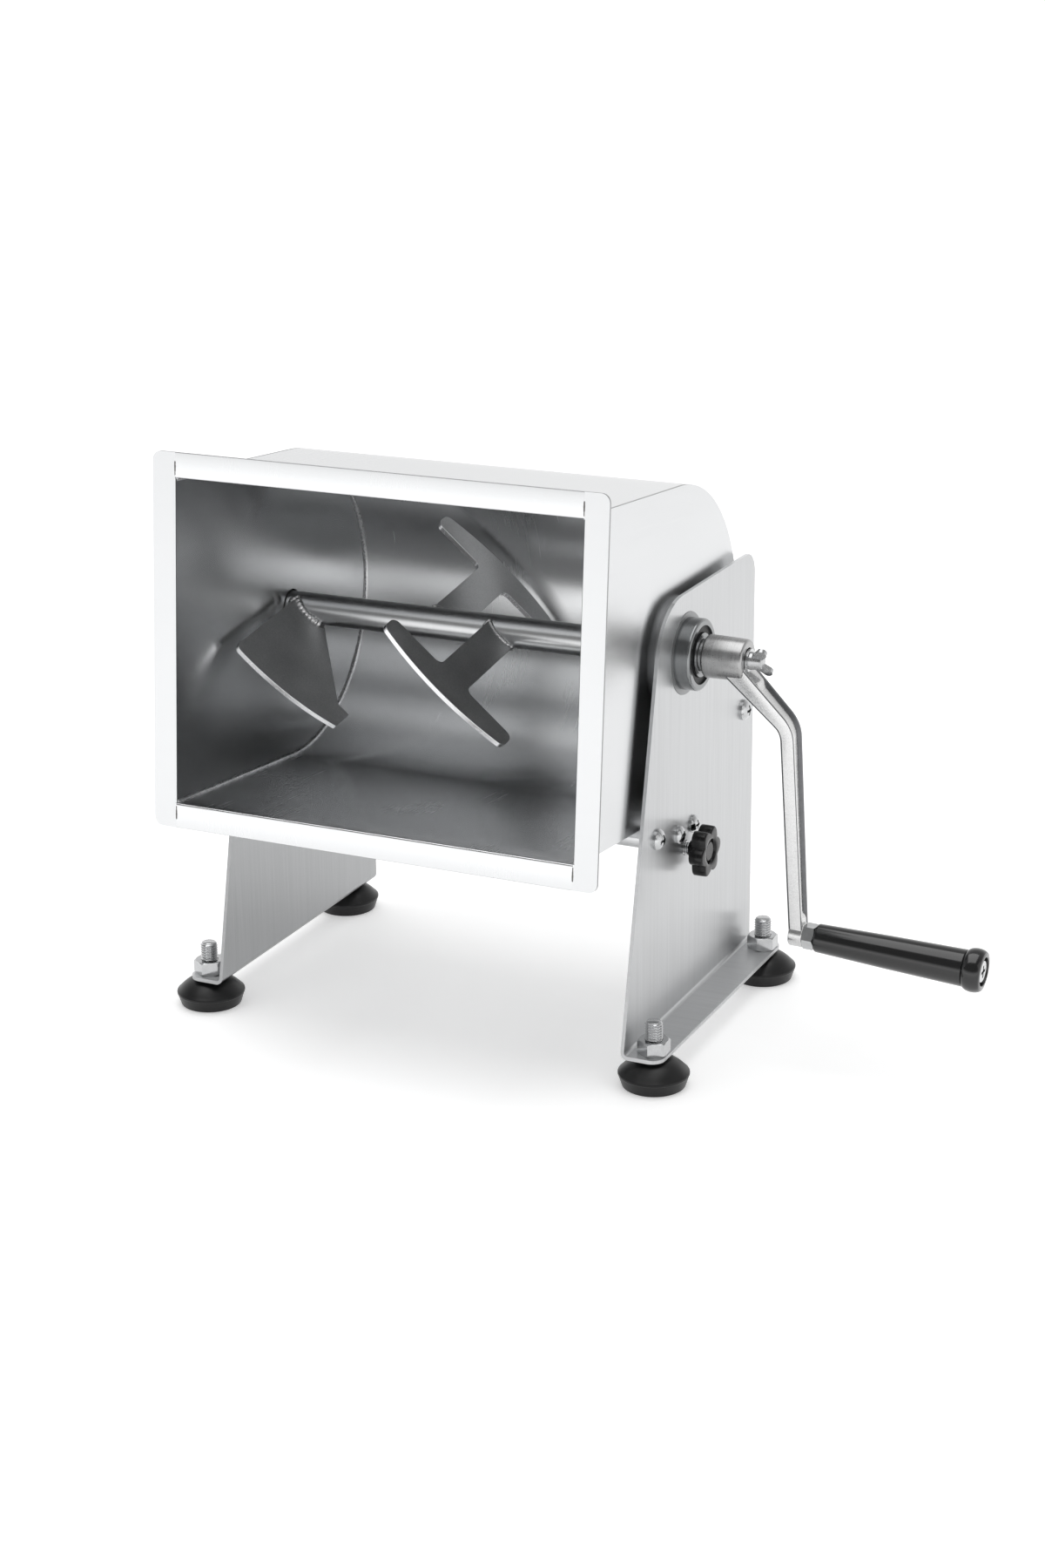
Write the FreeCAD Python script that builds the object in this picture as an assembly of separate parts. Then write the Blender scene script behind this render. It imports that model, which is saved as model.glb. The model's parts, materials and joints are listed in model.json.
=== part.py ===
import FreeCAD, Part
import math
import os

from FreeCAD import Vector

os.makedirs("parts", exist_ok=True)

# Hand-cranked meat mixer with a tipping tank, drawn in its pouring pose.
# Millimetres and degrees. X runs along the mixing shaft towards the crank,
# -Y is the side the tank pours to, +Z is up.

# Side plates, bent from sheet
plate_sheet = 2.0
plate_from_tank = 4.5
plate_depth = 190.0
plate_top_depth = 137.0
plate_above_axis = 34.0
plate_front_round = 35.0
plate_rear_round = 13.0
plate_bend_radius = 2.0
flange_width = 21.5
flange_round = 8.0

# Shaft axis, from the floor and from the middle of the plates
axis_height = 224.0
axis_forward = 8.0

# Levelling feet
pad_diameter = 40.0
pad_floor_diameter = 35.0
pad_widest_height = 8.0
pad_height = 15.5
pad_top_diameter = 15.0
pad_edge_round = 1.2
foot_collar_diameter = 14.0
foot_collar_height = 1.5
foot_thread = 10.0
foot_stud_proud = 18.5
foot_stud_depth = 8.0
foot_from_plate = 13.0
foot_from_edge = 12.0
foot_nut_flats = 16.0
foot_nut_height = 8.0

# Tank, welded from sheet: a trough round the shaft and two end walls
tank_width = 240.0
tank_radius = 90.0
tank_sheet = 1.5
mouth_reach = 126.5
rim_width = 14.0
rim_corner = 5.0
rim_bend_radius = 1.2
pour_angle = 85.0

# Trunnions that carry the tank in the plates
trunnion_diameter = 46.0
trunnion_flange_diameter = 62.0
trunnion_lip = 1.0
trunnion_lip_bore = 31.0
trunnion_proud = 0.3

# Ball bearings
bearing_outside = 40.0
bearing_bore = 17.0
bearing_width = 15.0
bearing_edge = 1.5
inner_ring_diameter = 24.4
outer_ring_bore = 32.8
ball_count = 8
ball_diameter = 6.75
cage_width = 8.2
cage_thickness = 1.9
seal_thickness = 1.0
seal_inset = 1.5

# Mixing shaft and paddles
shaft_diameter = 18.0
shaft_left_proud = 2.0
crank_seat_diameter = 14.0
crank_seat_flat = 2.0
paddle_sheet = 3.0
paddle_pitch = 44.0
paddle_angle = 188.5
paddle_round = 4.5
tee_wall_gap = 6.0
tee_right_place = 17.0
tee_left_place = 22.5
tee_head_length = 91.5
tee_head_width = 18.0
tee_stem_width = 20.0
end_paddle_trough_gap = 15.0
end_paddle_wall_gap = 5.8
end_paddle_edge = 10.0
end_paddle_root = 8.0
end_paddle_tip = 61.0
end_paddle_tip_width = 15.5
end_paddle_step = 8.7

# Crank: a cast hub and arm, and a turning grip
hub_stand_off = 3.0
hub_diameter = 24.0
hub_end_diameter = 23.0
hub_length = 23.5
crank_throw = 154.0
arm_thickness = 8.0
arm_root_start = 9.0
arm_root_length = 18.5
arm_root_drop = 8.5
arm_bend_offset = 44.5
arm_bend_drop = 38.0
arm_bend_lift = 6.0
arm_bend_round = 9.0
arm_end_offset = 51.5
arm_root_width = 17.0
arm_bend_width = 14.0
arm_end_width = 11.0
arm_rib = 2.4
arm_recess = 1.5
boss_diameter = 14.0
grip_droop = 2.6
spindle_diameter = 8.0
spindle_nut_flats = 13.0
spindle_nut_height = 6.5
spindle_head_diameter = 12.5
spindle_head_height = 3.0
grip_length = 96.0
grip_start_diameter = 16.0
grip_end_diameter = 20.5
grip_bead_diameter = 24.5
grip_bead_length = 12.0
grip_recess_diameter = 15.0
grip_recess_depth = 4.0

# Wing screw that holds the crank on the shaft
wing_thread = 6.0
wing_thread_length = 16.0
wing_boss_diameter = 10.0
wing_boss_height = 7.0
wing_span = 22.0
wing_height = 15.0
wing_sheet = 2.4
wing_angle = 129.0
washer_diameter = 13.0
washer_height = 1.6

# Tie rods between the plates
rod_diameter = 12.0
front_rod_reach = 33.0
rear_rod_room = 6.4
rear_rod_angle = 33.6
rod_screw_thread = 6.0
rod_screw_head = 12.0
rod_screw_head_height = 4.4
rod_screw_grip = 14.0
rod_screw_depth = 16.0

# Tilt lock: a rocking shoe inside the right plate, pulled by a star knob
lock_below_tank = 21.8
lock_screw_below_tank = 10.8
lock_screw_spacing = 20.0
lock_screw_thread = 5.0
lock_screw_head = 10.0
lock_screw_head_height = 3.7
lock_nut_flats = 8.0
lock_nut_height = 4.0
shoe_sheet = 2.0
shoe_tongue_overlap = 13.5
shoe_tongue_width = 20.0
shoe_shoulder_width = 34.0
shoe_tail_width = 20.0
shoe_margin = 8.0
shoe_round = 2.0
shoe_pad_thickness = 2.0
shoe_pad_height = 10.0
shoe_pad_width = 16.0
lock_thread = 8.0
lock_nut_large_flats = 13.0
lock_nut_large_height = 6.5
lock_stud_past_nut = 4.0
knob_stand_off = 3.4
knob_diameter = 29.0
knob_thickness = 8.2
knob_lobes = 6
knob_lobe_radius = 4.6
knob_hollow_diameter = 22.0
knob_angle = 4.0
knob_neck_diameter = 10.0
knob_neck_height = 4.2
knob_socket_cover = 2.0
knob_dish_diameter = 14.0
knob_dish_depth = 2.2
knob_cap_diameter = 11.0
knob_cap_height = 1.2

# Clearances
running_gap = 0.08
thread_gap = 0.06
seat_gap = 0.02
screw_gap = 0.3
stop_gap = 0.3
side_play = 0.4
shaft_wall_gap = 1.0
ball_gap = 0.08
grip_bore_gap = 0.1
grip_end_play = 0.3

# Places that follow from the sizes above
axis_y = -axis_forward
tank_half = tank_width / 2
tank_outer_radius = tank_radius + tank_sheet
wall_outer = tank_half + tank_sheet
tee_sweep = tank_radius - tee_wall_gap
end_paddle_sweep = tank_radius - end_paddle_trough_gap
plate_inner = wall_outer + plate_from_tank
plate_outer = plate_inner + plate_sheet
plate_top = axis_height + plate_above_axis
flange_bottom = pad_height + foot_collar_height
flange_top = flange_bottom + plate_sheet
flange_edge = plate_outer + flange_width
foot_x = plate_outer + foot_from_plate
foot_y = plate_depth / 2 - foot_from_edge
bearing_start = wall_outer + trunnion_lip
bearing_end = bearing_start + bearing_width
ball_circle = (inner_ring_diameter + outer_ring_bore) / 4
hub_start = bearing_end + hub_stand_off
hub_end = hub_start + hub_length
shaft_right_end = hub_end - washer_height / 2
boss_start = hub_start + arm_end_offset
boss_end = boss_start + arm_thickness
grip_start = boss_end + spindle_nut_height + grip_end_play
grip_end = grip_start + grip_length
lock_drop = tank_outer_radius + lock_below_tank
lock_screw_drop = tank_outer_radius + lock_screw_below_tank
shoe_tongue_top = tank_outer_radius - shoe_tongue_overlap
shoe_face = plate_inner - shoe_sheet
knob_back = plate_outer + knob_stand_off
knob_front = knob_back + knob_neck_height + knob_thickness
dish_floor = knob_front - knob_dish_depth
along_x = Vector(1, 0, 0)
along_y = Vector(0, 1, 0)
along_z = Vector(0, 0, 1)
nowhere = Vector(0, 0, 0)
half_turn = 180


def in_xy(a, b):
    return Vector(a, b, 0)


def in_yz(a, b):
    return Vector(0, a, b)


def in_xz(a, b):
    return Vector(a, 0, b)


def closed_face(corners, plane):
    """Flat face round corners (a, b, radius); a radius of 0 keeps a corner sharp."""
    starts = []
    ends = []
    edges = []
    for i, (a, b, radius) in enumerate(corners):
        here = plane(a, b)
        back = (plane(*corners[i - 1][:2]) - here).normalize()
        ahead = (plane(*corners[(i + 1) % len(corners)][:2]) - here).normalize()
        if radius == 0:
            starts.append(here)
            ends.append(here)
            continue
        half_angle = back.getAngle(ahead) / 2
        reach = radius / math.tan(half_angle)
        inward = (back + ahead).normalize()
        middle = here + inward * (radius / math.sin(half_angle) - radius)
        starts.append(here + back * reach)
        ends.append(here + ahead * reach)
        edges.append(Part.Arc(starts[-1], middle, ends[-1]).toShape())
    for i, end in enumerate(ends):
        start = starts[(i + 1) % len(starts)]
        if end.distanceToPoint(start) > 1e-6:
            edges.append(Part.LineSegment(end, start).toShape())
    return Part.Face(Part.Wire(Part.sortEdges(edges)[0]))


def prism(corners, plane, start, length):
    """Solid swept from a rounded outline, square to its plane."""
    face = closed_face(corners, plane)
    normal = plane(1, 0).cross(plane(0, 1))
    if normal.x + normal.y + normal.z < 0:
        normal = normal * -1
    face.translate(normal * start)
    return face.extrude(normal * length)


def turned(corners, axis=along_x):
    """Solid of revolution from corners (along the axis, radius, rounding)."""
    plane = in_xy
    if axis is along_z:
        corners = [(r, z, rounding) for z, r, rounding in corners]
        plane = in_xz
    return closed_face(corners, plane).revolve(nowhere, axis, 360)


def rod_x(start, end, radius, y=0.0, z=0.0):
    return Part.makeCylinder(radius, end - start, Vector(start, y, z), along_x)


def ring_x(start, end, outer, inner):
    return rod_x(start, end, outer).cut(rod_x(start - 1, end + 1, inner))


def moved(shape, x=0.0, y=0.0, z=0.0):
    copy = shape.copy()
    copy.translate(Vector(x, y, z))
    return copy


def spun(shape, angle, axis=along_x):
    copy = shape.copy()
    copy.rotate(nowhere, axis, angle)
    return copy


def mirrored(shape):
    return shape.mirror(nowhere, along_x)


def on_axis(shape):
    """Carry a shape drawn about the X axis to the shaft axis."""
    return moved(shape, 0, axis_y, axis_height)


def hexagon(flats, height, bore):
    """Nut along +X from the origin, its corners chamfered on both faces."""
    corner = flats / math.sqrt(3)
    turn = [math.radians(60 * k) for k in range(6)]
    body = prism([(corner * math.cos(t), corner * math.sin(t), 0) for t in turn], in_yz, 0, height)
    bevel = (corner - flats / 2) * math.tan(math.radians(30))
    cone = turned([(0, 0, 0), (0, flats / 2, 0), (bevel, corner, 0), (height - bevel, corner, 0),
                   (height, flats / 2, 0), (height, 0, 0)])
    return body.common(cone).cut(rod_x(-1, height + 1, bore))


def pan_screw(head, head_height, thread, length):
    """Cross-recessed pan-head screw: the head stands on X = 0 and the thread runs to -X."""
    radius = head / 2
    rim = head_height * 0.35
    side = Vector(rim, radius, 0)
    crown = Vector(head_height, 0, 0)
    bulge = Vector(head_height * 0.86, radius * 0.62, 0)
    edges = [Part.LineSegment(nowhere, Vector(0, radius, 0)).toShape(),
             Part.LineSegment(Vector(0, radius, 0), side).toShape(),
             Part.Arc(side, bulge, crown).toShape(),
             Part.LineSegment(crown, nowhere).toShape()]
    dome = Part.Face(Part.Wire(edges)).revolve(nowhere, along_x, 360)
    slot_length = head * 0.52
    slot_width = head * 0.13
    slot_depth = head_height * 0.5
    for long_y, long_z in ((slot_length, slot_width), (slot_width, slot_length)):
        corner = Vector(head_height - slot_depth, -long_y / 2, -long_z / 2)
        dome = dome.cut(Part.makeBox(head_height, long_y, long_z, corner))
    return dome.fuse(rod_x(-length, 0, thread / 2))


def side_plate(holes):
    """Right plate: upright sheet with a rounded top, bent outwards into a foot flange."""
    bend_outside = plate_bend_radius + plate_sheet
    section = prism([(plate_inner, plate_top + 1, 0), (plate_inner, flange_bottom, bend_outside),
                     (flange_edge, flange_bottom, 0), (flange_edge, flange_top, 0),
                     (plate_outer, flange_top, plate_bend_radius), (plate_outer, plate_top + 1, 0)],
                    in_xz, -plate_depth / 2 - 1, plate_depth + 2)
    rear = plate_depth / 2
    front_top = rear - plate_top_depth
    side_view = prism([(-rear, flange_bottom, 0), (-rear, 0, 0), (rear, 0, 0),
                       (rear, plate_top, plate_rear_round), (front_top, plate_top, plate_front_round)],
                      in_yz, 0, flange_edge + 1)
    plan_view = prism([(0, -rear, 0), (flange_edge, -rear, flange_round),
                       (flange_edge, rear, flange_round), (0, rear, 0)], in_xy, 0, plate_top + 1)
    plate = section.common(side_view).common(plan_view)
    for y in (-foot_y, foot_y):
        plate = plate.cut(Part.makeCylinder(foot_thread / 2 + screw_gap, plate_top, Vector(foot_x, y, 0)))
    for y, z, radius in holes:
        plate = plate.cut(rod_x(0, flange_edge, radius, axis_y + y, axis_height + z))
    return plate


def foot_pad():
    """Moulded rubber pad: flat below, widest part-way up, with a low dome to its collar."""
    base = pad_floor_diameter / 2
    widest = pad_diameter / 2
    top = pad_top_diameter / 2
    low = Vector(base, 0, 0)
    edge = Vector(widest, 0, pad_widest_height)
    crown = Vector(top, 0, pad_height)
    reach = widest - top
    rise = pad_height - pad_widest_height
    shoulder = Vector(top + reach * 0.62, 0, pad_widest_height + rise * 0.68)
    edges = [Part.LineSegment(nowhere, low).toShape(), Part.LineSegment(low, edge).toShape(),
             Part.Arc(edge, shoulder, crown).toShape(),
             Part.LineSegment(crown, Vector(0, 0, pad_height)).toShape(),
             Part.LineSegment(Vector(0, 0, pad_height), nowhere).toShape()]
    pad = Part.Face(Part.Wire(edges)).revolve(nowhere, along_z, 360)
    widest_edges = [e for e in pad.Edges if abs(e.BoundBox.XLength - pad_diameter) < 0.01]
    pad = pad.makeFillet(pad_edge_round, widest_edges)
    socket = Vector(0, 0, pad_height - foot_stud_depth)
    return pad.cut(Part.makeCylinder(foot_thread / 2 + seat_gap, pad_height, socket))


def foot_stud():
    """Threaded stud moulded into the pad, with a collar under the flange."""
    low = pad_height - foot_stud_depth
    top = flange_top + foot_stud_proud
    radius = foot_thread / 2
    collar = foot_collar_diameter / 2
    return turned([(low, 0, 0), (low, radius, 0), (pad_height, radius, 0), (pad_height, collar, 0),
                   (flange_bottom, collar, 0), (flange_bottom, radius, 0), (top - 1, radius, 0),
                   (top, radius - 1, 0), (top, 0, 0)], along_z)


def trough_face(radius, top):
    """Upright U outline about the shaft, open edge at the given height."""
    right = in_yz(radius, 0)
    left = in_yz(-radius, 0)
    edges = [Part.Arc(right, in_yz(0, -radius), left).toShape(),
             Part.LineSegment(left, in_yz(-radius, top)).toShape(),
             Part.LineSegment(in_yz(-radius, top), in_yz(radius, top)).toShape(),
             Part.LineSegment(in_yz(radius, top), right).toShape()]
    return Part.Face(Part.Wire(edges))


def trough_solid(radius, top, start, end):
    face = trough_face(radius, top)
    face.translate(along_x * start)
    return face.extrude(along_x * (end - start))


def tank_wrapper():
    """Trough sheet bent round the shaft, with the rim strips along its two long edges."""
    shell = trough_solid(tank_outer_radius, mouth_reach, -tank_half, tank_half)
    shell = shell.cut(trough_solid(tank_radius, mouth_reach + 1, -tank_half - 1, tank_half + 1))
    strip = Part.makeBox(tank_width, rim_width, tank_sheet,
                         Vector(-tank_half, tank_radius, mouth_reach - tank_sheet))
    wrapper = shell.fuse(strip).fuse(strip.mirror(nowhere, along_y)).removeSplitter()
    bend = rim_bend(tank_width)
    bend.rotate(nowhere, along_z, -90)
    bend.translate(in_yz(tank_radius, 0))
    for corner in (bend, bend.mirror(nowhere, along_y)):
        wrapper = wrapper.cut(corner)
    return spun(wrapper, pour_angle)


def rim_bend(length):
    """What a bend of the rim takes off a sharp edge that runs along Y at the mouth, on its +X side."""
    low = mouth_reach - rim_bend_radius
    block = Part.makeBox(rim_bend_radius, length, rim_bend_radius, Vector(0, -length / 2, low))
    centre = Vector(rim_bend_radius, -length / 2, low)
    return block.cut(Part.makeCylinder(rim_bend_radius, length, centre, along_y))


def tank_end():
    """Right end wall with the rim strip bent outwards from its upper edge."""
    wall = trough_solid(tank_outer_radius, mouth_reach, tank_half, wall_outer)
    reach = tank_radius + rim_width
    strip = prism([(tank_half, -reach, 0), (tank_half + rim_width, -reach, rim_corner),
                   (tank_half + rim_width, reach, rim_corner), (tank_half, reach, 0)],
                  in_xy, mouth_reach - tank_sheet, tank_sheet)
    end = wall.fuse(strip).removeSplitter()
    end = end.cut(moved(rim_bend(2 * tank_radius), tank_half))
    end = end.cut(rod_x(0, 2 * tank_width, shaft_diameter / 2 + shaft_wall_gap))
    return spun(end, pour_angle)


def trunnion():
    """Turned hub welded to the end wall: it turns in the plate and holds the bearing."""
    flange_end = plate_inner - side_play
    outer_end = plate_outer + trunnion_proud
    sleeve = trunnion_diameter / 2
    seat = bearing_outside / 2 + seat_gap
    return turned([(wall_outer, trunnion_lip_bore / 2, 0), (wall_outer, trunnion_flange_diameter / 2, 0),
                   (flange_end, trunnion_flange_diameter / 2, 0), (flange_end, sleeve, 0),
                   (outer_end, sleeve, 0), (outer_end, seat, 0),
                   (bearing_start, seat, 0), (bearing_start, trunnion_lip_bore / 2, 0)])


def ball_track():
    """Ring that the balls run in, a little larger than the balls."""
    section = Part.makeCircle(ball_diameter / 2 + ball_gap, Vector(0, ball_circle, 0), along_z)
    return Part.Face(Part.Wire(section)).revolve(nowhere, along_x, 360)


def bearing():
    """Outer ring, inner ring, seals, balls and cage about the origin."""
    half = bearing_width / 2
    outside = bearing_outside / 2
    bore = bearing_bore / 2
    outer = turned([(-half, outer_ring_bore / 2, 0), (-half, outside, bearing_edge),
                    (half, outside, bearing_edge), (half, outer_ring_bore / 2, 0)])
    inner = turned([(-half, bore, bearing_edge), (-half, inner_ring_diameter / 2, 0),
                    (half, inner_ring_diameter / 2, 0), (half, bore, bearing_edge)])
    track = ball_track()
    seal_inner = inner_ring_diameter / 2 + stop_gap
    seal_outer = outer_ring_bore / 2 - seat_gap
    seal = ring_x(half - seal_inset - seal_thickness, half - seal_inset, seal_outer, seal_inner)
    seals = Part.makeCompound([seal, mirrored(seal)])
    ball = Part.makeSphere(ball_diameter / 2, Vector(0, ball_circle, 0))
    pocket = Part.makeSphere(ball_diameter / 2 + ball_gap, Vector(0, ball_circle, 0))
    turns = [360.0 * k / ball_count for k in range(ball_count)]
    balls = Part.makeCompound([spun(ball, turn) for turn in turns])
    cage = ring_x(-cage_width / 2, cage_width / 2,
                  ball_circle + cage_thickness / 2, ball_circle - cage_thickness / 2)
    for turn in turns:
        cage = cage.cut(spun(pocket, turn))
    return {"outer_ring": outer.cut(track), "inner_ring": inner.cut(track), "seals": seals,
            "balls": balls, "cage": cage}


def crank_seat(start, end, gap):
    """Round bar with one flat, which turns the crank with the shaft."""
    radius = crank_seat_diameter / 2
    flat = radius - crank_seat_flat + gap
    keep = Part.makeBox(end - start, 2 * hub_diameter, hub_diameter + flat,
                        Vector(start, -hub_diameter, -hub_diameter))
    return rod_x(start, end, radius + gap).common(keep)


def mixing_shaft():
    """Bar with a journal in each bearing and a flatted seat for the crank."""
    journal = bearing_bore / 2 - seat_gap
    bar = rod_x(-bearing_start, bearing_start, shaft_diameter / 2)
    bar = bar.fuse(rod_x(-bearing_end - shaft_left_proud, hub_start, journal))
    bar = bar.fuse(crank_seat(hub_start, shaft_right_end, 0)).removeSplitter()
    hole_start = shaft_right_end - wing_thread_length
    return bar.cut(rod_x(hole_start, hub_end, wing_thread / 2 + thread_gap))


def sweep_edge(sweep, u):
    """Height of a paddle's outer edge: at its pitch, the edge stays this far from the shaft."""
    across = u * math.sin(math.radians(paddle_pitch))
    return math.sqrt(sweep ** 2 - across ** 2)


def paddle_plate(sweep, outline, rounded, place, turn, pitch):
    """Flat plate between an outline and its swept outer edge, pitched and turned on the shaft."""
    first = outline[0]
    last = outline[-1]
    middle = (first.x + last.x) / 2
    edges = [Part.Arc(first, in_xy(middle, sweep_edge(sweep, middle)), last).toShape()]
    edges += [Part.LineSegment(a, b).toShape() for a, b in zip(outline, outline[1:])]
    face = Part.Face(Part.Wire(Part.sortEdges(edges)[0]))
    face.translate(along_z * (-paddle_sheet / 2))
    plate = face.extrude(along_z * paddle_sheet)
    corners = [e for e in plate.Edges if abs(e.BoundBox.ZLength - paddle_sheet) < 0.01
               and any(e.BoundBox.Center.distanceToPoint(c) < 0.01 for c in rounded)]
    plate = plate.makeFillet(paddle_round, corners)
    plate = spun(spun(plate, -pitch, along_y), turn)
    bar = rod_x(-tank_width, tank_width, shaft_diameter / 2 + seat_gap)
    return moved(plate, place).cut(bar)


def tee_paddle(place, turn, pitch):
    """Paddle with a straight stem and a head whose outer edge is curved."""
    half = tee_head_length / 2
    stem = tee_stem_width / 2
    inner = tee_sweep - tee_head_width
    right = [in_xy(half, sweep_edge(tee_sweep, half)), in_xy(half, inner), in_xy(stem, inner)]
    left = [in_xy(-p.x, p.y) for p in right[::-1]]
    outline = right + [in_xy(stem, 0), in_xy(-stem, 0)] + left
    return paddle_plate(tee_sweep, outline, right + left, place, turn, pitch)


def end_paddle():
    """Paddle that fans out from the shaft beside the left wall to a stepped tip."""
    place = -tank_half + end_paddle_wall_gap + end_paddle_edge * math.cos(math.radians(paddle_pitch))
    tip = sweep_edge(end_paddle_sweep, end_paddle_tip)
    under = tip - end_paddle_tip_width
    corner = in_xy(-end_paddle_edge, sweep_edge(end_paddle_sweep, end_paddle_edge))
    outline = [in_xy(end_paddle_tip, tip), in_xy(end_paddle_tip, under),
               in_xy(end_paddle_tip - end_paddle_step, under), in_xy(end_paddle_root, 0),
               in_xy(-end_paddle_edge, 0), corner]
    return paddle_plate(end_paddle_sweep, outline, [corner], place, paddle_angle, paddle_pitch)


def on_grip_line(shape):
    """Carry a shape drawn about the X axis to the grip's line, which droops a little from the boss."""
    copy = moved(shape, 0, 0, -crank_throw)
    copy.rotate(Vector(boss_start, 0, -crank_throw), along_y, grip_droop)
    return copy


def crank_arm():
    """Casting: round hub, an arm that leans out and then hangs straight, and a round boss."""
    root_end = arm_root_start + arm_root_length
    bend_outer = arm_bend_offset + arm_thickness
    outer_line = [(root_end, -arm_root_drop, 0), (bend_outer, arm_bend_lift - arm_bend_drop, arm_bend_round),
                  (arm_end_offset + arm_thickness, -crank_throw, 0)]
    side = [(arm_root_start, -arm_root_drop, 0), (arm_bend_offset, -arm_bend_drop, arm_bend_round),
            (arm_end_offset, -crank_throw, 0)] + outer_line[::-1]
    side += [(hub_length, -arm_root_drop, 0), (hub_length, 0, 0), (arm_root_start, 0, 0)]
    widest = arm_root_width + boss_diameter
    arm = prism(side, in_xz, -widest / 2, widest).common(arm_front(0, 0, -crank_throw))
    hub = turned([(0, 0, 0), (0, hub_diameter / 2, 1), (hub_length, hub_end_diameter / 2, 1),
                  (hub_length, 0, 0)])
    sunk = [(x - arm_recess, z - arm_recess / 2, r) for x, z, r in outer_line]
    clear = [(x + bend_outer, z + arm_bend_drop / 2, 0) for x, z, r in outer_line]
    recess_top = -hub_diameter / 2 - arm_rib
    recess_end = boss_diameter / 2 + arm_rib - crank_throw
    recess = prism(sunk + clear[::-1], in_xz, -widest / 2, widest)
    recess = recess.common(arm_front(arm_rib, recess_top, recess_end))
    casting = hub.fuse(arm).cut(recess).cut(crank_seat(-1, hub_length + 1, seat_gap))
    casting = moved(casting, hub_start).fuse(on_grip_line(rod_x(boss_start, boss_end, boss_diameter / 2)))
    hole = rod_x(boss_start - hub_length, boss_end + hub_length, spindle_diameter / 2 + seat_gap)
    return casting.removeSplitter().cut(on_grip_line(hole))


def arm_front(inset, top, bottom):
    """Front view of the arm, tapering from the hub to the boss, as a deep prism."""
    def half_width(z):
        drop = -z
        if drop < arm_bend_drop:
            part = drop / arm_bend_drop
            width = arm_root_width + (arm_bend_width - arm_root_width) * part
        else:
            part = (drop - arm_bend_drop) / (crank_throw - arm_bend_drop)
            width = arm_bend_width + (arm_end_width - arm_bend_width) * part
        return width / 2 - inset
    levels = [top, -arm_bend_drop, bottom]
    right = [(half_width(z), z, 0) for z in levels]
    left = [(-y, z, 0) for y, z, r in right[::-1]]
    return prism(right + left, in_yz, -crank_throw, 3 * crank_throw)


def spindle():
    """Bolt that the grip turns on, screwed into the boss and held by its nut."""
    head_seat = grip_end - grip_recess_depth + grip_end_play
    bolt = turned([(boss_start, 0, 0), (boss_start, spindle_diameter / 2, 0),
                   (head_seat, spindle_diameter / 2, 0), (head_seat, spindle_head_diameter / 2, 0),
                   (head_seat + spindle_head_height, spindle_head_diameter / 2, 0.8),
                   (head_seat + spindle_head_height, 0, 0)])
    slot = spindle_head_diameter * 0.14
    for long_y, long_z in ((slot * 4, slot), (slot, slot * 4)):
        corner = Vector(head_seat + spindle_head_height / 2, -long_y / 2, -long_z / 2)
        bolt = bolt.cut(Part.makeBox(spindle_head_height, long_y, long_z, corner))
    return on_grip_line(bolt)


def crank_grip():
    """Tapered handle with a bead at its free end, bored for the spindle."""
    bead_start = grip_end - grip_bead_length
    taper_end = grip_end_diameter / 2
    bore = spindle_diameter / 2 + grip_bore_gap
    recess = grip_recess_diameter / 2
    floor = grip_end - grip_recess_depth
    bead = grip_bead_diameter / 2
    grip = turned([(grip_start, bore, 0), (grip_start, grip_start_diameter / 2, 1.5),
                   (bead_start, taper_end, 0), (bead_start, bead, 1.5), (grip_end, bead, 4),
                   (grip_end, recess, 0), (floor, recess, 0), (floor, bore, 0)])
    return on_grip_line(grip)


def wing_screw():
    """Screw with two thumb wings that lean outwards from a round boss."""
    base = hub_end + washer_height
    radius = wing_boss_diameter / 2
    boss = turned([(base, 0, 0), (base, radius, 0), (base + wing_boss_height, radius * 0.8, 1),
                   (base + wing_boss_height, 0, 0)])
    tip = wing_span / 2
    wing = prism([(base + 1, 0, 0), (base + 1, radius * 0.8, 0), (base + wing_height * 0.45, tip, 2),
                  (base + wing_height, tip, 3), (base + wing_boss_height, radius * 0.6, 2),
                  (base + wing_boss_height * 0.8, 0, 0)], in_xy, -wing_sheet / 2, wing_sheet)
    body = boss.fuse(wing).fuse(spun(wing, half_turn)).removeSplitter()
    thread = rod_x(base - washer_height - wing_thread_length + 2, base, wing_thread / 2)
    return spun(body.fuse(thread), wing_angle)


def lock_shoe():
    """Plate that rocks on its two screws and presses its pad on the tank's end wall."""
    tongue = shoe_tongue_width / 2
    shoulder = shoe_shoulder_width / 2
    tail = shoe_tail_width / 2
    shoulder_top = -lock_screw_drop + shoe_margin
    tail_end = -lock_drop - shoe_margin
    right = [(tongue, -shoe_tongue_top, shoe_round), (tongue, shoulder_top, shoe_round),
             (shoulder, shoulder_top, shoe_round), (shoulder, -lock_screw_drop - shoe_margin / 2, shoe_round),
             (tail, tail_end, shoe_round)]
    left = [(-y, z, r) for y, z, r in right[::-1]]
    shoe = prism(right + left, in_yz, shoe_face, shoe_sheet)
    for y in (-lock_screw_spacing / 2, lock_screw_spacing / 2):
        shoe = shoe.cut(rod_x(0, plate_outer, lock_screw_thread / 2 + screw_gap, y, -lock_screw_drop))
    return shoe.cut(rod_x(0, plate_outer, lock_thread / 2 + screw_gap, 0, -lock_drop))


def lock_pad():
    half = shoe_pad_width / 2
    top = -shoe_tongue_top - shoe_round
    low = top - shoe_pad_height
    return prism([(-half, low, shoe_round), (half, low, shoe_round), (half, top, shoe_round),
                  (-half, top, shoe_round)], in_yz, shoe_face - shoe_pad_thickness, shoe_pad_thickness)


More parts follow.
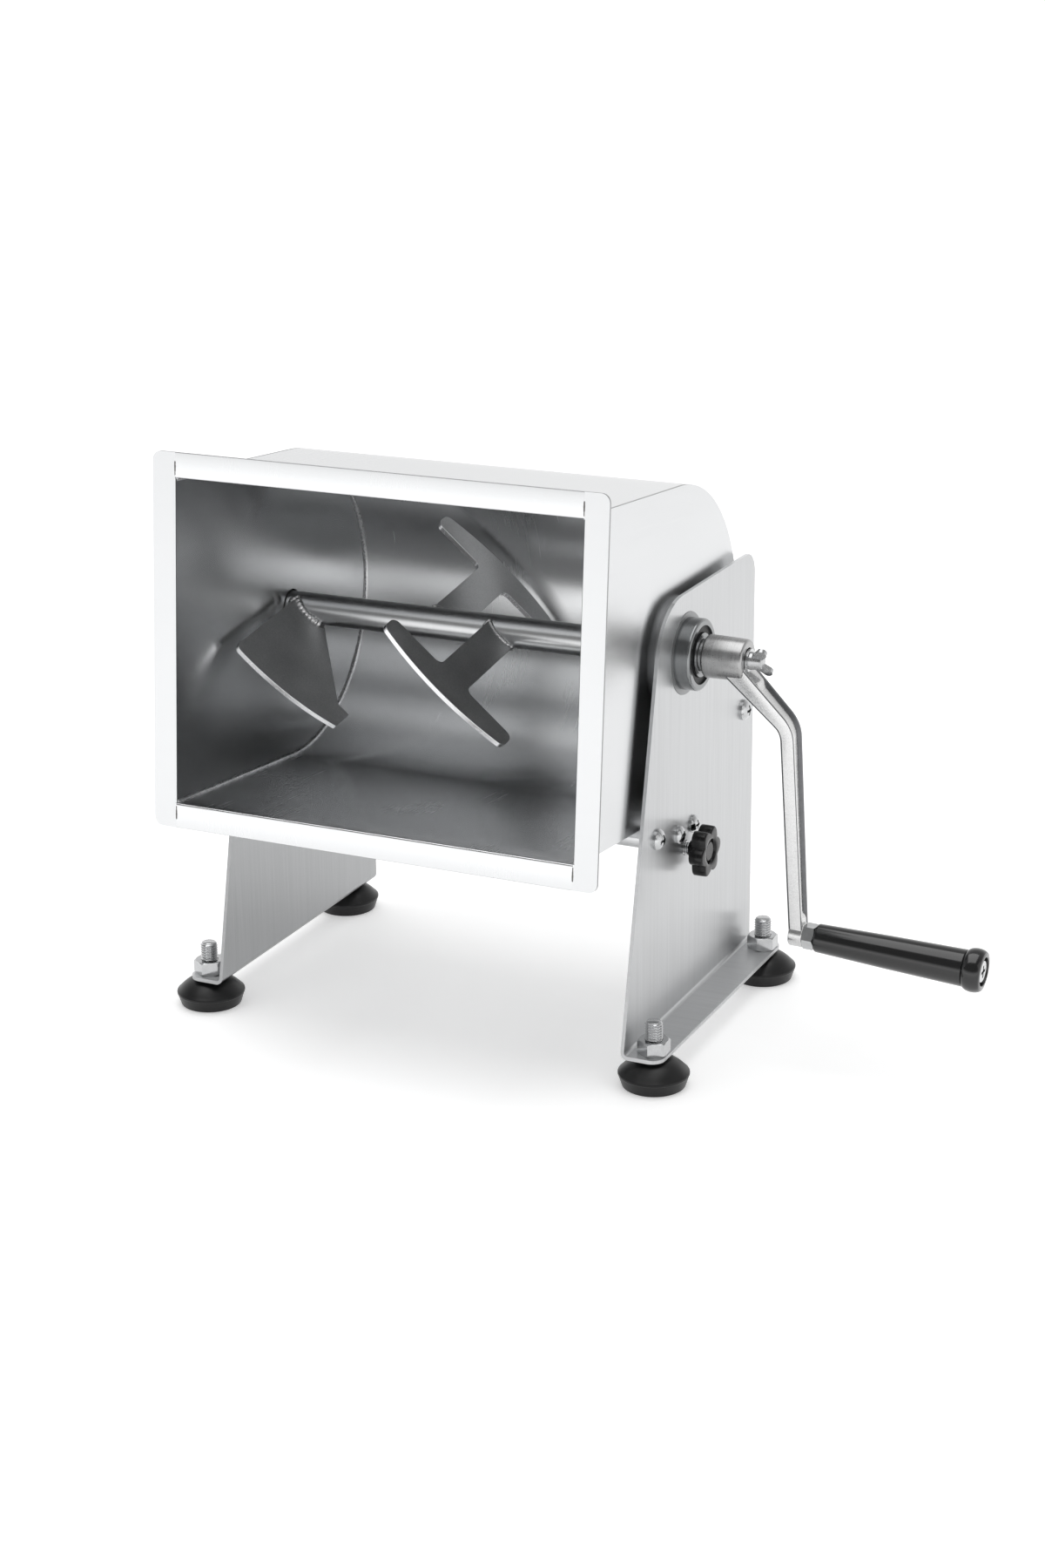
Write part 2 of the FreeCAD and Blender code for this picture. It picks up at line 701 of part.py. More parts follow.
def star_outline():
    """Round lobes joined by smooth hollows, as one wire about the X axis."""
    lobe = knob_lobe_radius
    reach = knob_diameter / 2 - lobe
    hollow = knob_hollow_diameter / 2
    step = math.pi / knob_lobes
    near = reach * math.cos(step)
    valley = (reach ** 2 + hollow ** 2 - 2 * near * hollow - lobe ** 2) / (2 * (lobe - hollow + near))
    edges = []
    for k in range(knob_lobes):
        middle = 2 * k * step
        joins = []
        for side in (-1, 1, 3):
            at = reach_point(reach, middle + (2 * step if side == 3 else 0))
            towards = reach_point(hollow + valley, middle + (-step if side == -1 else step)) - at
            joins.append(at + towards.normalize() * lobe)
        top = reach_point(knob_diameter / 2, middle)
        low = reach_point(hollow, middle + step)
        edges.append(Part.Arc(joins[0], top, joins[1]).toShape())
        edges.append(Part.Arc(joins[1], low, joins[2]).toShape())
    return Part.Wire(Part.sortEdges(edges)[0])


def reach_point(radius, angle):
    return in_yz(radius * math.cos(angle), radius * math.sin(angle))


def star_knob():
    """Knob head with a dished face, a neck behind it and a socket for the stud."""
    back = knob_back + knob_neck_height
    face = Part.Face(star_outline())
    face.translate(along_x * back)
    head = face.extrude(along_x * knob_thickness)
    head = head.fuse(rod_x(knob_back, back, knob_neck_diameter / 2))
    head = head.cut(rod_x(dish_floor, knob_front + 1, knob_dish_diameter / 2))
    return head.cut(rod_x(0, dish_floor - knob_socket_cover, lock_thread / 2 + seat_gap))


def build_stand(nodes):
    rod_radius = rod_diameter / 2
    pour = math.radians(pour_angle)
    rest = tank_outer_radius + stop_gap + rod_radius
    front = (-front_rod_reach * math.sin(pour) - rest * math.cos(pour),
             front_rod_reach * math.cos(pour) - rest * math.sin(pour))
    away = tank_outer_radius + rear_rod_room + rod_radius
    down = math.radians(rear_rod_angle)
    rear = (away * math.cos(down), -away * math.sin(down))
    rods = {"front_tie_rod": front, "rear_tie_rod": rear}
    trunnion_hole = (0, 0, trunnion_diameter / 2 + running_gap)
    holes = [trunnion_hole] + [(y, z, rod_screw_thread / 2 + screw_gap) for y, z in rods.values()]
    nodes["left_side_plate"] = mirrored(side_plate(holes))
    lock_holes = [(side * lock_screw_spacing / 2, -lock_screw_drop, lock_screw_thread / 2 + screw_gap)
                  for side in (-1, 1)]
    lock_holes.append((0, -lock_drop, lock_thread / 2 + screw_gap))
    nodes["right_side_plate"] = side_plate(holes + lock_holes)
    screw = pan_screw(rod_screw_head, rod_screw_head_height, rod_screw_thread, rod_screw_grip + plate_sheet)
    screws = []
    for name, (y, z) in rods.items():
        rod = rod_x(-plate_inner, plate_inner, rod_radius)
        tapping = rod_x(plate_inner - rod_screw_depth, plate_inner, rod_screw_thread / 2 + thread_gap)
        rod = rod.cut(tapping).cut(mirrored(tapping))
        nodes[name] = on_axis(moved(rod, 0, y, z))
        right = moved(screw, plate_outer)
        screws += [on_axis(moved(s, 0, y, z)) for s in (right, mirrored(right))]
    nodes["tie_rod_screws"] = Part.makeCompound(screws)


def build_lock(nodes):
    nodes["lock_shoe"] = on_axis(lock_shoe())
    nodes["lock_shoe_pad"] = on_axis(lock_pad())
    reach = plate_sheet + shoe_sheet + lock_nut_height + 1
    screw = moved(pan_screw(lock_screw_head, lock_screw_head_height, lock_screw_thread, reach), plate_outer)
    nut = moved(hexagon(lock_nut_flats, lock_nut_height, lock_screw_thread / 2 + thread_gap),
                shoe_face - lock_nut_height)
    places = [(side * lock_screw_spacing / 2, -lock_screw_drop) for side in (-1, 1)]
    nodes["lock_shoe_screws"] = Part.makeCompound([on_axis(moved(screw, 0, y, z)) for y, z in places])
    nodes["lock_shoe_nuts"] = Part.makeCompound([on_axis(moved(nut, 0, y, z)) for y, z in places])
    large = hexagon(lock_nut_large_flats, lock_nut_large_height, lock_thread / 2 + thread_gap)
    nut_start = shoe_face - lock_nut_large_height
    nodes["lock_weld_nut"] = on_axis(moved(large, nut_start, 0, -lock_drop))
    stud = rod_x(nut_start - lock_stud_past_nut, dish_floor - knob_socket_cover, lock_thread / 2)
    nodes["lock_stud"] = on_axis(moved(stud, 0, 0, -lock_drop))
    nodes["lock_knob"] = on_axis(moved(spun(star_knob(), knob_angle), 0, 0, -lock_drop))
    cap_top = dish_floor + knob_cap_height
    cap = turned([(dish_floor, 0, 0), (dish_floor, knob_cap_diameter / 2, 0),
                  (cap_top, knob_cap_diameter / 2, knob_cap_height / 2), (cap_top, 0, 0)])
    nodes["lock_knob_cap"] = on_axis(moved(cap, 0, 0, -lock_drop))


def build_feet(nodes):
    nut = spun(hexagon(foot_nut_flats, foot_nut_height, foot_thread / 2 + thread_gap), -90, along_y)
    nuts = []
    for side, side_name in ((-1, "left"), (1, "right")):
        for end, end_name in ((-1, "front"), (1, "rear")):
            x = side * foot_x
            y = end * foot_y
            nodes[f"{end_name}_{side_name}_foot_pad"] = moved(foot_pad(), x, y)
            nodes[f"{end_name}_{side_name}_foot_stud"] = moved(foot_stud(), x, y)
            nuts.append(moved(nut, x, y, flange_top))
    nodes["foot_nuts"] = Part.makeCompound(nuts)


def build_tank(nodes):
    nodes["tank_wrapper"] = on_axis(tank_wrapper())
    pieces = {"tank_end": tank_end(), "trunnion": trunnion()}
    for piece, shape in pieces.items():
        nodes["right_" + piece] = on_axis(shape)
        nodes["left_" + piece] = on_axis(mirrored(shape))
    middle = (bearing_start + bearing_end) / 2
    for piece, shape in bearing().items():
        nodes["right_bearing_" + piece] = on_axis(moved(shape, middle))
        nodes["left_bearing_" + piece] = on_axis(moved(shape, -middle))


def build_rotor(nodes):
    nodes["mixing_shaft"] = on_axis(mixing_shaft())
    left = end_paddle()
    nodes["left_end_paddle"] = on_axis(left)
    nodes["right_end_paddle"] = on_axis(spun(mirrored(left), half_turn))
    nodes["front_tee_paddle"] = on_axis(tee_paddle(tee_right_place, paddle_angle, paddle_pitch))
    nodes["rear_tee_paddle"] = on_axis(tee_paddle(-tee_left_place, paddle_angle + half_turn, -paddle_pitch))
    nodes["crank_arm"] = on_axis(crank_arm())
    nodes["crank_washer"] = on_axis(ring_x(hub_end, hub_end + washer_height, washer_diameter / 2,
                                           wing_thread / 2 + screw_gap))
    nodes["wing_screw"] = on_axis(wing_screw())
    nut = hexagon(spindle_nut_flats, spindle_nut_height, spindle_diameter / 2 + seat_gap)
    nodes["grip_spindle_nut"] = on_axis(on_grip_line(moved(nut, boss_end)))
    nodes["grip_spindle"] = on_axis(spindle())
    nodes["crank_grip"] = on_axis(crank_grip())


def build():
    """Make every piece, then set the origin under the middle of the whole object's box."""
    nodes = {}
    for make in (build_stand, build_lock, build_feet, build_tank, build_rotor):
        make(nodes)
    whole = FreeCAD.BoundBox()
    for shape in nodes.values():
        whole.add(shape.optimalBoundingBox(False, False))
    origin = Vector(whole.Center.x, whole.Center.y, whole.ZMin)
    for shape in nodes.values():
        shape.translate(origin * -1)
    return nodes, origin


nodes, origin = build()
for name, shape in nodes.items():
    shape.exportStep(os.path.join("parts", name + ".step"))
    if not shape.isValid() or any(solid.Volume <= 0 for solid in shape.Solids):
        raise ValueError(name + " is not a sound solid")
print("nodes", len(nodes), "origin", [round(v, 3) for v in origin])
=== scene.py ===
import json
import math
from functools import partial

import bmesh
import bpy
import numpy as np
from bpy.props import FloatProperty, FloatVectorProperty, PointerProperty
from mathutils import Matrix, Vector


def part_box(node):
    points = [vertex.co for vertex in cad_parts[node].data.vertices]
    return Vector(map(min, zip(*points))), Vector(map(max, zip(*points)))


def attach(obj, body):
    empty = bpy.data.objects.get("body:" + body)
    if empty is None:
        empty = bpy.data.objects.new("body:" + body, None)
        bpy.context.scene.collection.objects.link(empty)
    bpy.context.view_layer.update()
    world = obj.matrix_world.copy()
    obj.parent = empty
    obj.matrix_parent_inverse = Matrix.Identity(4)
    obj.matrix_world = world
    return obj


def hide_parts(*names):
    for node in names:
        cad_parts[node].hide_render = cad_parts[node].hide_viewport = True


bl_info = {
    "name": "Tilting meat mixer",
    "version": (1, 0, 0),
    "blender": (4, 5, 0),
    "location": "View3D > Sidebar > Mixer",
    "description": "Sheet, castings, welds, threads and mouldings of a hand-cranked meat mixer",
    "category": "Object",
}

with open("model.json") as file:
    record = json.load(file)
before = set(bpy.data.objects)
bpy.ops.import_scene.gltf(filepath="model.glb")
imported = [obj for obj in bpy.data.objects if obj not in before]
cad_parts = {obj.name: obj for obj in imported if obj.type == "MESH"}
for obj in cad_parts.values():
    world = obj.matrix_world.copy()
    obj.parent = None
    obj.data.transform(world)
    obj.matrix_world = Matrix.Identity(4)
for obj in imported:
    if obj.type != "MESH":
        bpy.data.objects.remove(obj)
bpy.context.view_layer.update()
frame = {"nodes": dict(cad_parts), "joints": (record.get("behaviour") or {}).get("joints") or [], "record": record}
joints = {joint["name"]: joint for joint in frame["joints"]}
shaft = np.array(joints["tank_tilt"]["pos_m"])
mm = 0.001
feet = [f"{end}_{side}" for end in ("front", "rear") for side in ("left", "right")]


# Colours and sizes that a user may change

def linear(code):
    """Linear red, green and blue of an sRGB hex colour."""
    part = np.array([int(code[i:i + 2], 16) for i in (1, 3, 5)]) / 255
    return tuple(np.where(part <= 0.04045, part / 12.92, ((part + 0.055) / 1.055) ** 2.4).tolist())


def colour(name, description, code):
    return FloatVectorProperty(name=name, description=description, subtype="COLOR", size=3, min=0, max=1,
                               default=linear(code))


def length(name, description, millimetres):
    return FloatProperty(name=name, description=description, subtype="DISTANCE", unit="LENGTH",
                         default=millimetres * mm)


def angle(name, description, degrees):
    return FloatProperty(name=name, description=description, subtype="ANGLE", unit="ROTATION",
                         default=math.radians(degrees))


class MixerColours(bpy.types.PropertyGroup):
    """The light tone of each finish; its dark tone is a share of it."""
    sheet: colour("Brushed sheet", "Stainless sheet of the tank", "#D9DADB")
    right: colour("Right plate", "Stainless sheet of the right side plate", "#C9CACB")
    # Painted shade: the left plate is darker to stand in for the shaded floor it reflects.
    left: colour("Left plate", "Duller stainless sheet of the left side plate", "#B5B6B7")
    # Painted light: faces that look up are paler, for the light they catch from above.
    flange: colour("Flange", "Pale stainless sheet of the foot flanges", "#ECEDEE")
    turned: colour("Turned bar", "Stainless shaft, rods and trunnions", "#D2D3D4")
    collar: colour("Collars", "Dull turned trunnions of the tank", "#A4A5A6")
    plate: colour("Cut plate", "Stainless plate of the paddles", "#C6C7C8")
    edge: colour("Ground edge", "Cut edges of the paddles", "#E6E6E7")
    sheared: colour("Sheared edge", "Cut edges of the tank's sheet", "#A9AAAB")
    weld: colour("Weld", "Weld beads left as laid", "#D8D8D8")
    burnt: colour("Burnt weld", "Short beads across the rim corners", "#8A8886")
    zinc: colour("Zinc plating", "Screws, nuts and studs", "#CBCCCD")
    casting: colour("Plated casting", "Crank arm and hub", "#DADADA")
    # Painted shade: a dark tone on the crank arm's edges and rear rib, for the shade that falls there.
    skin: colour("Casting skin", "Edges and channel of the crank arm", "#77787A")
    wing: colour("Wing screw", "Dull plated wing screw", "#BEBFC0")
    hub: colour("Turned hub", "Dull turned hub of the crank", "#B4B4B4")
    bearing: colour("Bearing steel", "Ground rings and balls", "#8C8E8F")
    nylon: colour("Nylon", "Ball cages", "#C9B98F")
    seal: colour("Seal rubber", "Bearing seals", "#2A2A2B")
    foot: colour("Foot rubber", "Levelling pads", "#111112")
    knob: colour("Knob plastic", "Star knob and cap", "#0F0F10")
    grip: colour("Grip plastic", "Turning handle", "#0B0B0C")
    floor: colour("Floor", "Paper under the mixer", "#F4F4F4")


class MixerSizes(bpy.types.PropertyGroup):
    tank_radius: length("Trough radius", "Inside radius of the trough", 90)
    tank_sheet: length("Tank sheet", "Sheet thickness of the tank", 1.5)
    mouth_reach: length("Mouth reach", "From the shaft axis to the face of the rim", 126.5)
    rim_width: length("Rim width", "Width of the rim strips", 14)
    rim_bend: length("Rim bend", "Bend radius at the root of the rim", 1.2)
    pour: angle("Pouring turn", "Turn of the tank from upright to the stored pose", 85)
    sheet_edge: length("Sheet edge", "Rounding on the edges of sheet pieces", 0.35)
    plate_sheet: length("Paddle plate", "Plate thickness of the paddles", 3)
    plate_edge: length("Paddle edge", "Rounding on the edges of the paddles", 0.45)
    seam_bead: length("Tank seam", "Size of the hollow weld along the end walls", 1.8)
    rim_bead: length("Rim seam", "Radius of the short beads across the rim corners", 0.42)
    root_bead: length("Paddle weld", "Radius of the fillet weld at the paddle roots", 1.5)
    ripple: length("Weld ripple", "Spacing of the ripples along a weld", 2.3)
    shaft_radius: length("Shaft radius", "Radius of the mixing shaft", 9)
    foot_radius: length("Foot stud", "Radius of the M10 foot studs", 5)
    foot_pitch: length("Foot pitch", "Pitch of the M10 threads", 1.5)
    foot_depth: length("Foot thread", "Depth of the M10 threads", 0.9)
    lock_radius: length("Lock stud", "Radius of the M8 lock stud", 4)
    lock_pitch: length("Lock pitch", "Pitch of the M8 thread", 1.25)
    lock_depth: length("Lock thread", "Depth of the M8 thread", 0.75)
    casting_edge: length("Casting edge", "Rounding on the edges of the crank casting", 1.3)
    wing_edge: length("Wing edge", "Rounding on the edges of the wing screw", 0.3)


class MixerStage(bpy.types.PropertyGroup):
    turn: angle("Camera turn", "Camera's direction about the vertical, from the front", 25.627)
    rise: angle("Camera rise", "Camera's height as an angle above the floor", 19.006)
    roll: angle("Camera roll", "Camera's lean about its own line of sight", -0.685)
    away: length("Camera distance", "From the camera to the point it looks at", 1636.6)
    aim_x: length("Aim across", "Where the camera looks, across", 23.623 - 71.084)
    aim_y: length("Aim back", "Where the camera looks, front to back", 20.093)
    aim_z: length("Aim up", "Where the camera looks, above the floor", 131.411)
    lens: FloatProperty(name="Lens", description="Focal length for a 36 mm sensor", subtype="DISTANCE_CAMERA",
                        default=65.406)
    top_light: FloatProperty(name="Top light", description="Power of the soft box above", subtype="POWER",
                             unit="POWER", default=14)
    side_light: FloatProperty(name="Side light", description="Power of the soft box on the crank side",
                              subtype="POWER", unit="POWER", default=2)
    sky: FloatProperty(name="Room", description="Brightness of the white room", default=1.0)


# Materials

def add(tree, kind, settings, inputs):
    """One node with its settings; an input that is a socket is linked, any other is set."""
    made = tree.nodes.new(kind)
    for key, value in settings.items():
        setattr(made, key, value)
    for key, value in inputs.items():
        if isinstance(value, bpy.types.NodeSocket):
            tree.links.new(value, made.inputs[key])
        else:
            made.inputs[key].default_value = value
    return made.outputs


def finish(name, light, dark, rough, layers, sockets, grain=None):
    """Material of two tones, a roughness band and a relief, all from layers of noise.

    A layer is (feature size in mm along x, y, z; detail; shares of tone, roughness and relief in mm).
    With grain the sizes are across and along the sheet's own grain, from its UV map, and reflections spread
    across the brushed lines, in the direction and by the amount that grain names.
    """
    made = bpy.data.materials.new(name)
    made.use_nodes = True
    tree = made.node_tree
    tree.nodes.clear()
    if grain:
        place = add(tree, "ShaderNodeUVMap", {"uv_map": "grain"}, {})["UV"]
    else:
        place = add(tree, "ShaderNodeTexCoord", {}, {})["Object"]
    sums = [0.5, 0.5, 0.0]
    for size, detail, shares in layers:
        spot = add(tree, "ShaderNodeMapping", {}, {"Vector": place, "Scale": [1 / (s * mm) for s in size]})[0]
        noise = add(tree, "ShaderNodeTexNoise", {}, {"Vector": spot, "Scale": 1.0, "Detail": detail})["Fac"]
        level = add(tree, "ShaderNodeMath", {"operation": "SUBTRACT"}, {0: noise, 1: 0.5})[0]
        for k, share in enumerate(shares):
            if share:
                weight = share * mm if k == 2 else share
                sums[k] = add(tree, "ShaderNodeMath", {"operation": "MULTIPLY_ADD"},
                              {0: level, 1: weight, 2: sums[k]})[0]
    shade = [c * dark for c in light]
    base = add(tree, "ShaderNodeMix", {"data_type": "RGBA"}, {0: sums[0], 6: (*shade, 1), 7: (*light, 1)})[2]
    rough = add(tree, "ShaderNodeMapRange", {}, {"Value": sums[1], "To Min": rough[0], "To Max": rough[1]})[0]
    links = {"Base Color": base, "Roughness": rough, **sockets}
    if grain:
        turn = {"vector_type": "VECTOR", "convert_from": "OBJECT", "convert_to": "WORLD"}
        links["Tangent"] = add(tree, "ShaderNodeVectorTransform", turn, {0: grain[0]})[0]
        links["Anisotropic"] = grain[1]
    if not isinstance(sums[2], float):
        links["Normal"] = add(tree, "ShaderNodeBump", {},
                              {"Strength": 1.0, "Distance": 1.0, "Height": sums[2]})[0]
    shader = add(tree, "ShaderNodeBsdfPrincipled", {}, links)[0]
    add(tree, "ShaderNodeOutputMaterial", {}, {"Surface": shader})
    return made


def make_finishes(colours, pour):
    """Every finish by the record's slot name, and those of single pieces, welds and cut edges."""
    metal = {"Metallic": 1.0}
    upright_grain = ((0, 1, 0), 0.75)
    made = {}
    # Stainless sheet, belt-brushed front to back: soft streaked reflections, spread up and down the end
    # walls. Real lines are about 0.1 mm apart, drawn at 0.5.
    brushed = [((0.5, 50, 1), 2, (0.4, 0.2, 0)), ((2.6, 140, 1), 2, (0.2, 0.15, 0)),
               ((60, 90, 1), 2, (0.25, 0.5, 0.03))]
    made["brushed_stainless_sheet"] = finish(
        "brushed_stainless_sheet", colours.sheet, 0.82, (0.18, 0.27), brushed, metal,
        grain=((0, math.cos(pour), math.sin(pour)), 0.9))
    # The same sheet brushed round the trough with a finer belt: reflections spread along the shaft.
    fine = [((0.6, 60, 1), 2, (0.14, 0.08, 0)), ((2.6, 140, 1), 2, (0.08, 0.06, 0)),
            ((60, 90, 1), 2, (0.25, 0.3, 0.03))]
    made["trough_sheet"] = finish(
        "round_brushed_stainless_sheet", colours.sheet, 0.82, (0.22, 0.32), fine, metal,
        grain=((1, 0, 0), 0.75))
    # The same sheet brushed with a coarser belt: duller, with plainer upright lines.
    upright = [((0.6, 70, 1), 2, (1.2, 0.4, 0)), ((3.2, 180, 1), 2, (0.7, 0.3, 0)),
               ((60, 90, 1), 2, (0.25, 0.5, 0.03))]
    made["right_sheet"] = finish(
        "scratch_brushed_stainless_sheet", colours.right, 0.82, (0.26, 0.38), upright, metal, upright_grain)
    # The left plate's sheet is a little rougher, and darker as painted shade for the shaded floor under the tank
    # that it reflects.
    made["left_sheet"] = finish(
        "painted_shade_brushed_stainless_sheet", colours.left, 0.82, (0.28, 0.40), upright, metal, upright_grain)
    # The foot flanges, and any face of the plates that looks up, get a paler copy of the sheet: painted light from
    # above.
    made["painted_light_flange_sheet"] = finish(
        "painted_light_stainless_flange", colours.flange, 0.82, (0.32, 0.44), upright, metal, upright_grain)
    # Sheared edge of the tank's sheet: dull and darker, a thin line round the rim and the ends.
    made["sheared_edge"] = finish(
        "sheared_sheet_edge", colours.sheared, 0.70, (0.40, 0.55),
        [((0.7, 0.7, 0.7), 2, (0.9, 0.8, 0.002)), ((9, 9, 9), 2, (0.8, 0.5, 0))], metal)
    # Stainless bar, turned then polished: a satin with faint rings, drawn at 1.2 mm from a 0.1 mm feed.
    made["turned_stainless"] = finish(
        "turned_stainless", colours.turned, 0.72, (0.24, 0.32),
        [((1.2, 60, 60), 2, (0.25, 0.2, 0)), ((14, 9, 9), 3, (0.15, 0.2, 0))], metal)
    # The trunnions' collars, turned and left dull, so that they keep the tone of the plate round them.
    made["dull_turned"] = finish(
        "dull_turned_stainless", colours.collar, 0.72, (0.42, 0.56),
        [((1.2, 60, 60), 2, (0.4, 0.3, 0)), ((8, 6, 6), 3, (0.3, 0.3, 0))], metal)
    # Stainless plate, laser cut with the mill's dull skin: fine even speckle and cloudy patches.
    made["cut_stainless_plate"] = finish(
        "cut_stainless_plate", colours.plate, 0.60, (0.40, 0.58),
        [((0.8, 0.8, 0.8), 3, (1.1, 0.9, 0.003)), ((18, 18, 18), 4, (0.8, 0.8, 0))], metal)
    # The plate's cut edge, ground by hand: brighter and smoother than its skin.
    made["cut_edge"] = finish(
        "ground_plate_edge", colours.edge, 0.78, (0.18, 0.32),
        [((0.9, 0.9, 0.9), 2, (0.8, 0.9, 0.0015)), ((6, 6, 6), 2, (0.6, 0.6, 0))], metal)
    # Weld metal as laid: pale and knobbly, with heat-darkened patches.
    made["weld"] = finish(
        "weld_bead_as_laid", colours.weld, 0.55, (0.22, 0.42),
        [((1.3, 1.3, 1.3), 3, (1.6, 1.2, 0.06)), ((6, 6, 6), 2, (1.0, 0.5, 0))], metal)
    # Corner weld ground into a hollow: bright satin, with a few cross scratches.
    made["ground_weld"] = finish(
        "ground_corner_weld", colours.edge, 0.74, (0.20, 0.36),
        [((0.7, 0.7, 0.7), 2, (0.7, 0.9, 0.004)), ((5, 5, 5), 2, (0.9, 0.6, 0.03))], metal)
    # Weld left burnt at the rim corners: dull grey scale.
    made["burnt_weld"] = finish(
        "burnt_weld_scale", colours.burnt, 0.40, (0.45, 0.70),
        [((0.6, 0.6, 0.6), 3, (1.4, 1.0, 0.03)), ((2.5, 2.5, 2.5), 2, (1.2, 0.5, 0))], metal)
    # Steel, bright zinc plated: pale, slightly cloudy metal.
    made["zinc_plated_steel"] = finish(
        "zinc_plated_steel", colours.zinc, 0.74, (0.10, 0.24),
        [((0.5, 0.5, 0.5), 3, (0.6, 0.9, 0.001)), ((4, 4, 4), 2, (0.9, 0.8, 0))], metal)
    # Iron casting, ground and nickel plated: bright skin over soft lumps, grinding lines across the arm and
    # round the hub. The lines are about 0.15 mm apart, drawn at 0.6.
    made["plated_casting"] = finish(
        "nickel_plated_casting", colours.casting, 0.74, (0.17, 0.32),
        [((7, 7, 7), 2, (0.4, 0.6, 0.015)), ((9, 9, 0.6), 2, (0.6, 0.8, 0.002)),
         ((0.8, 0.8, 0.8), 2, (1.2, 0.8, 0.005))], metal)
    # Painted shade on the crank arm: a dark, dull copy of the casting on its edges and rear rib, for the shade
    # there.
    made["painted_shade_casting"] = finish(
        "painted_shade_casting_edges", colours.skin, 0.62, (0.30, 0.48),
        [((0.9, 0.9, 0.9), 3, (1.0, 0.9, 0.006)), ((5, 5, 5), 2, (0.9, 0.5, 0))], metal)
    # Wing screw, cast and dull plated: grey, with a slightly pitted face.
    made["cast_wing"] = finish(
        "dull_plated_cast_wing", colours.wing, 0.62, (0.18, 0.34),
        [((0.6, 0.6, 0.6), 3, (0.9, 0.9, 0.004)), ((3, 3, 3), 2, (0.9, 0.6, 0))], metal)
    # The casting's hub, turned and left dull: fine rings over a grey satin.
    made["turned_hub"] = finish(
        "turned_nickel_hub", colours.hub, 0.60, (0.22, 0.38),
        [((0.5, 14, 14), 2, (0.9, 0.9, 0.003)), ((0.6, 0.6, 0.6), 2, (0.8, 0.8, 0.003)),
         ((9, 9, 9), 2, (0.4, 0.5, 0))], metal)
    # Chrome steel, ground: nearly a mirror, with faint grinding rings.
    made["ground_bearing_steel"] = finish(
        "ground_bearing_steel", colours.bearing, 0.70, (0.14, 0.26),
        [((0.4, 30, 30), 2, (0.6, 0.9, 0.0005)), ((6, 6, 6), 2, (0.5, 0.5, 0))], metal)
    # Nylon, moulded: milky and faintly mottled.
    made["moulded_nylon"] = finish(
        "moulded_nylon", colours.nylon, 0.86, (0.32, 0.46),
        [((2, 2, 2), 2, (0.8, 0.8, 0.004))], {"IOR": 1.53})
    # Nitrile rubber, moulded: dull black with a dusty bloom.
    made["seal_rubber"] = finish(
        "seal_rubber", colours.seal, 0.70, (0.45, 0.65),
        [((0.8, 0.8, 0.8), 3, (0.9, 0.9, 0.004))], {"IOR": 1.52})
    # Rubber, moulded in a dull tool: soft sheen, fine skin and scuffs.
    made["moulded_rubber"] = finish(
        "moulded_foot_rubber", colours.foot, 0.62, (0.28, 0.44),
        [((0.6, 0.6, 0.6), 3, (0.8, 0.8, 0.006)), ((9, 9, 4), 4, (1.2, 1.0, 0))],
        {"IOR": 1.52, "Specular IOR Level": 0.35})
    # Nylon with glass, moulded: satin black with a fine grain.
    made["black_knob_plastic"] = finish(
        "satin_knob_plastic", colours.knob, 0.68, (0.14, 0.28),
        [((0.5, 0.5, 0.5), 3, (0.8, 0.9, 0.002)), ((7, 7, 7), 3, (1.0, 0.7, 0))],
        {"IOR": 1.53, "Specular IOR Level": 0.3})
    # Phenolic handle, polished: deep black gloss with the faintest ripple.
    made["black_grip_plastic"] = finish(
        "gloss_grip_plastic", colours.grip, 0.70, (0.12, 0.22),
        [((9, 4, 4), 2, (0.9, 0.6, 0.006)), ((0.7, 0.7, 0.7), 3, (0.5, 0.9, 0.0004))],
        {"IOR": 1.55, "Specular IOR Level": 0.5, "Coat Weight": 0.2, "Coat Roughness": 0.05})
    return made


finishes = {}


# Surfaces

def unit(vector):
    return vector / np.linalg.norm(vector, axis=-1, keepdims=True)


def rounded(corners, steps=6, close=True):
    """Line through corners (a, b, radius), each corner made an arc that touches both its sides."""
    line = []
    last = len(corners) - 1
    for k, (a, b, radius) in enumerate(corners):
        here = np.array([a, b], float)
        if radius == 0 or (not close and k in (0, last)):
            line.append(here[None])
            continue
        back = unit(np.array(corners[k - 1][:2]) - here)
        ahead = unit(np.array(corners[(k + 1) % (last + 1)][:2]) - here)
        half = math.acos(np.clip(back @ ahead, -1, 1)) / 2
        middle = here + unit(back + ahead) * radius / math.sin(half)
        start = here + back * radius / math.tan(half) - middle
        end = here + ahead * radius / math.tan(half) - middle
        spread = math.pi - 2 * half
        part = np.linspace(0, 1, steps)[:, None]
        arc = (np.sin((1 - part) * spread) * start + np.sin(part * spread) * end) / math.sin(spread)
        line.append(middle + arc)
    return np.concatenate(line)


def evenly(line, step, close=False):
    """The same line with points at even spacing along it."""
    if close:
        line = np.concatenate([line, line[:1]])
    reach = np.concatenate([[0], np.cumsum(np.linalg.norm(np.diff(line, axis=0), axis=1))])
    at = np.linspace(0, reach[-1], max(int(reach[-1] / step), 3) + 1)
    if close:
        at = at[:-1]
    return np.stack([np.interp(at, reach, column) for column in line.T], -1)


def sheet_of(points, rows=False, columns=False, caps=False, uv=None, kind=0):
    """A grid of points; rows and columns say which way it closes on itself, caps closes its open ends.

    The kind of its faces, one for all or one for each column, picks the piece's finish.
    """
    return {"points": points, "rows": rows, "columns": columns, "caps": caps, "uv": uv, "kind": kind}


def across(along):
    """Two unit vectors square to a direction and to each other."""
    along = unit(np.array(along, float))
    start = np.array([0.0, 1.0, 0.0]) if abs(along[1]) < 0.9 else np.array([1.0, 0.0, 0.0])
    side = unit(np.cross(along, start))
    return along, side, np.cross(along, side)


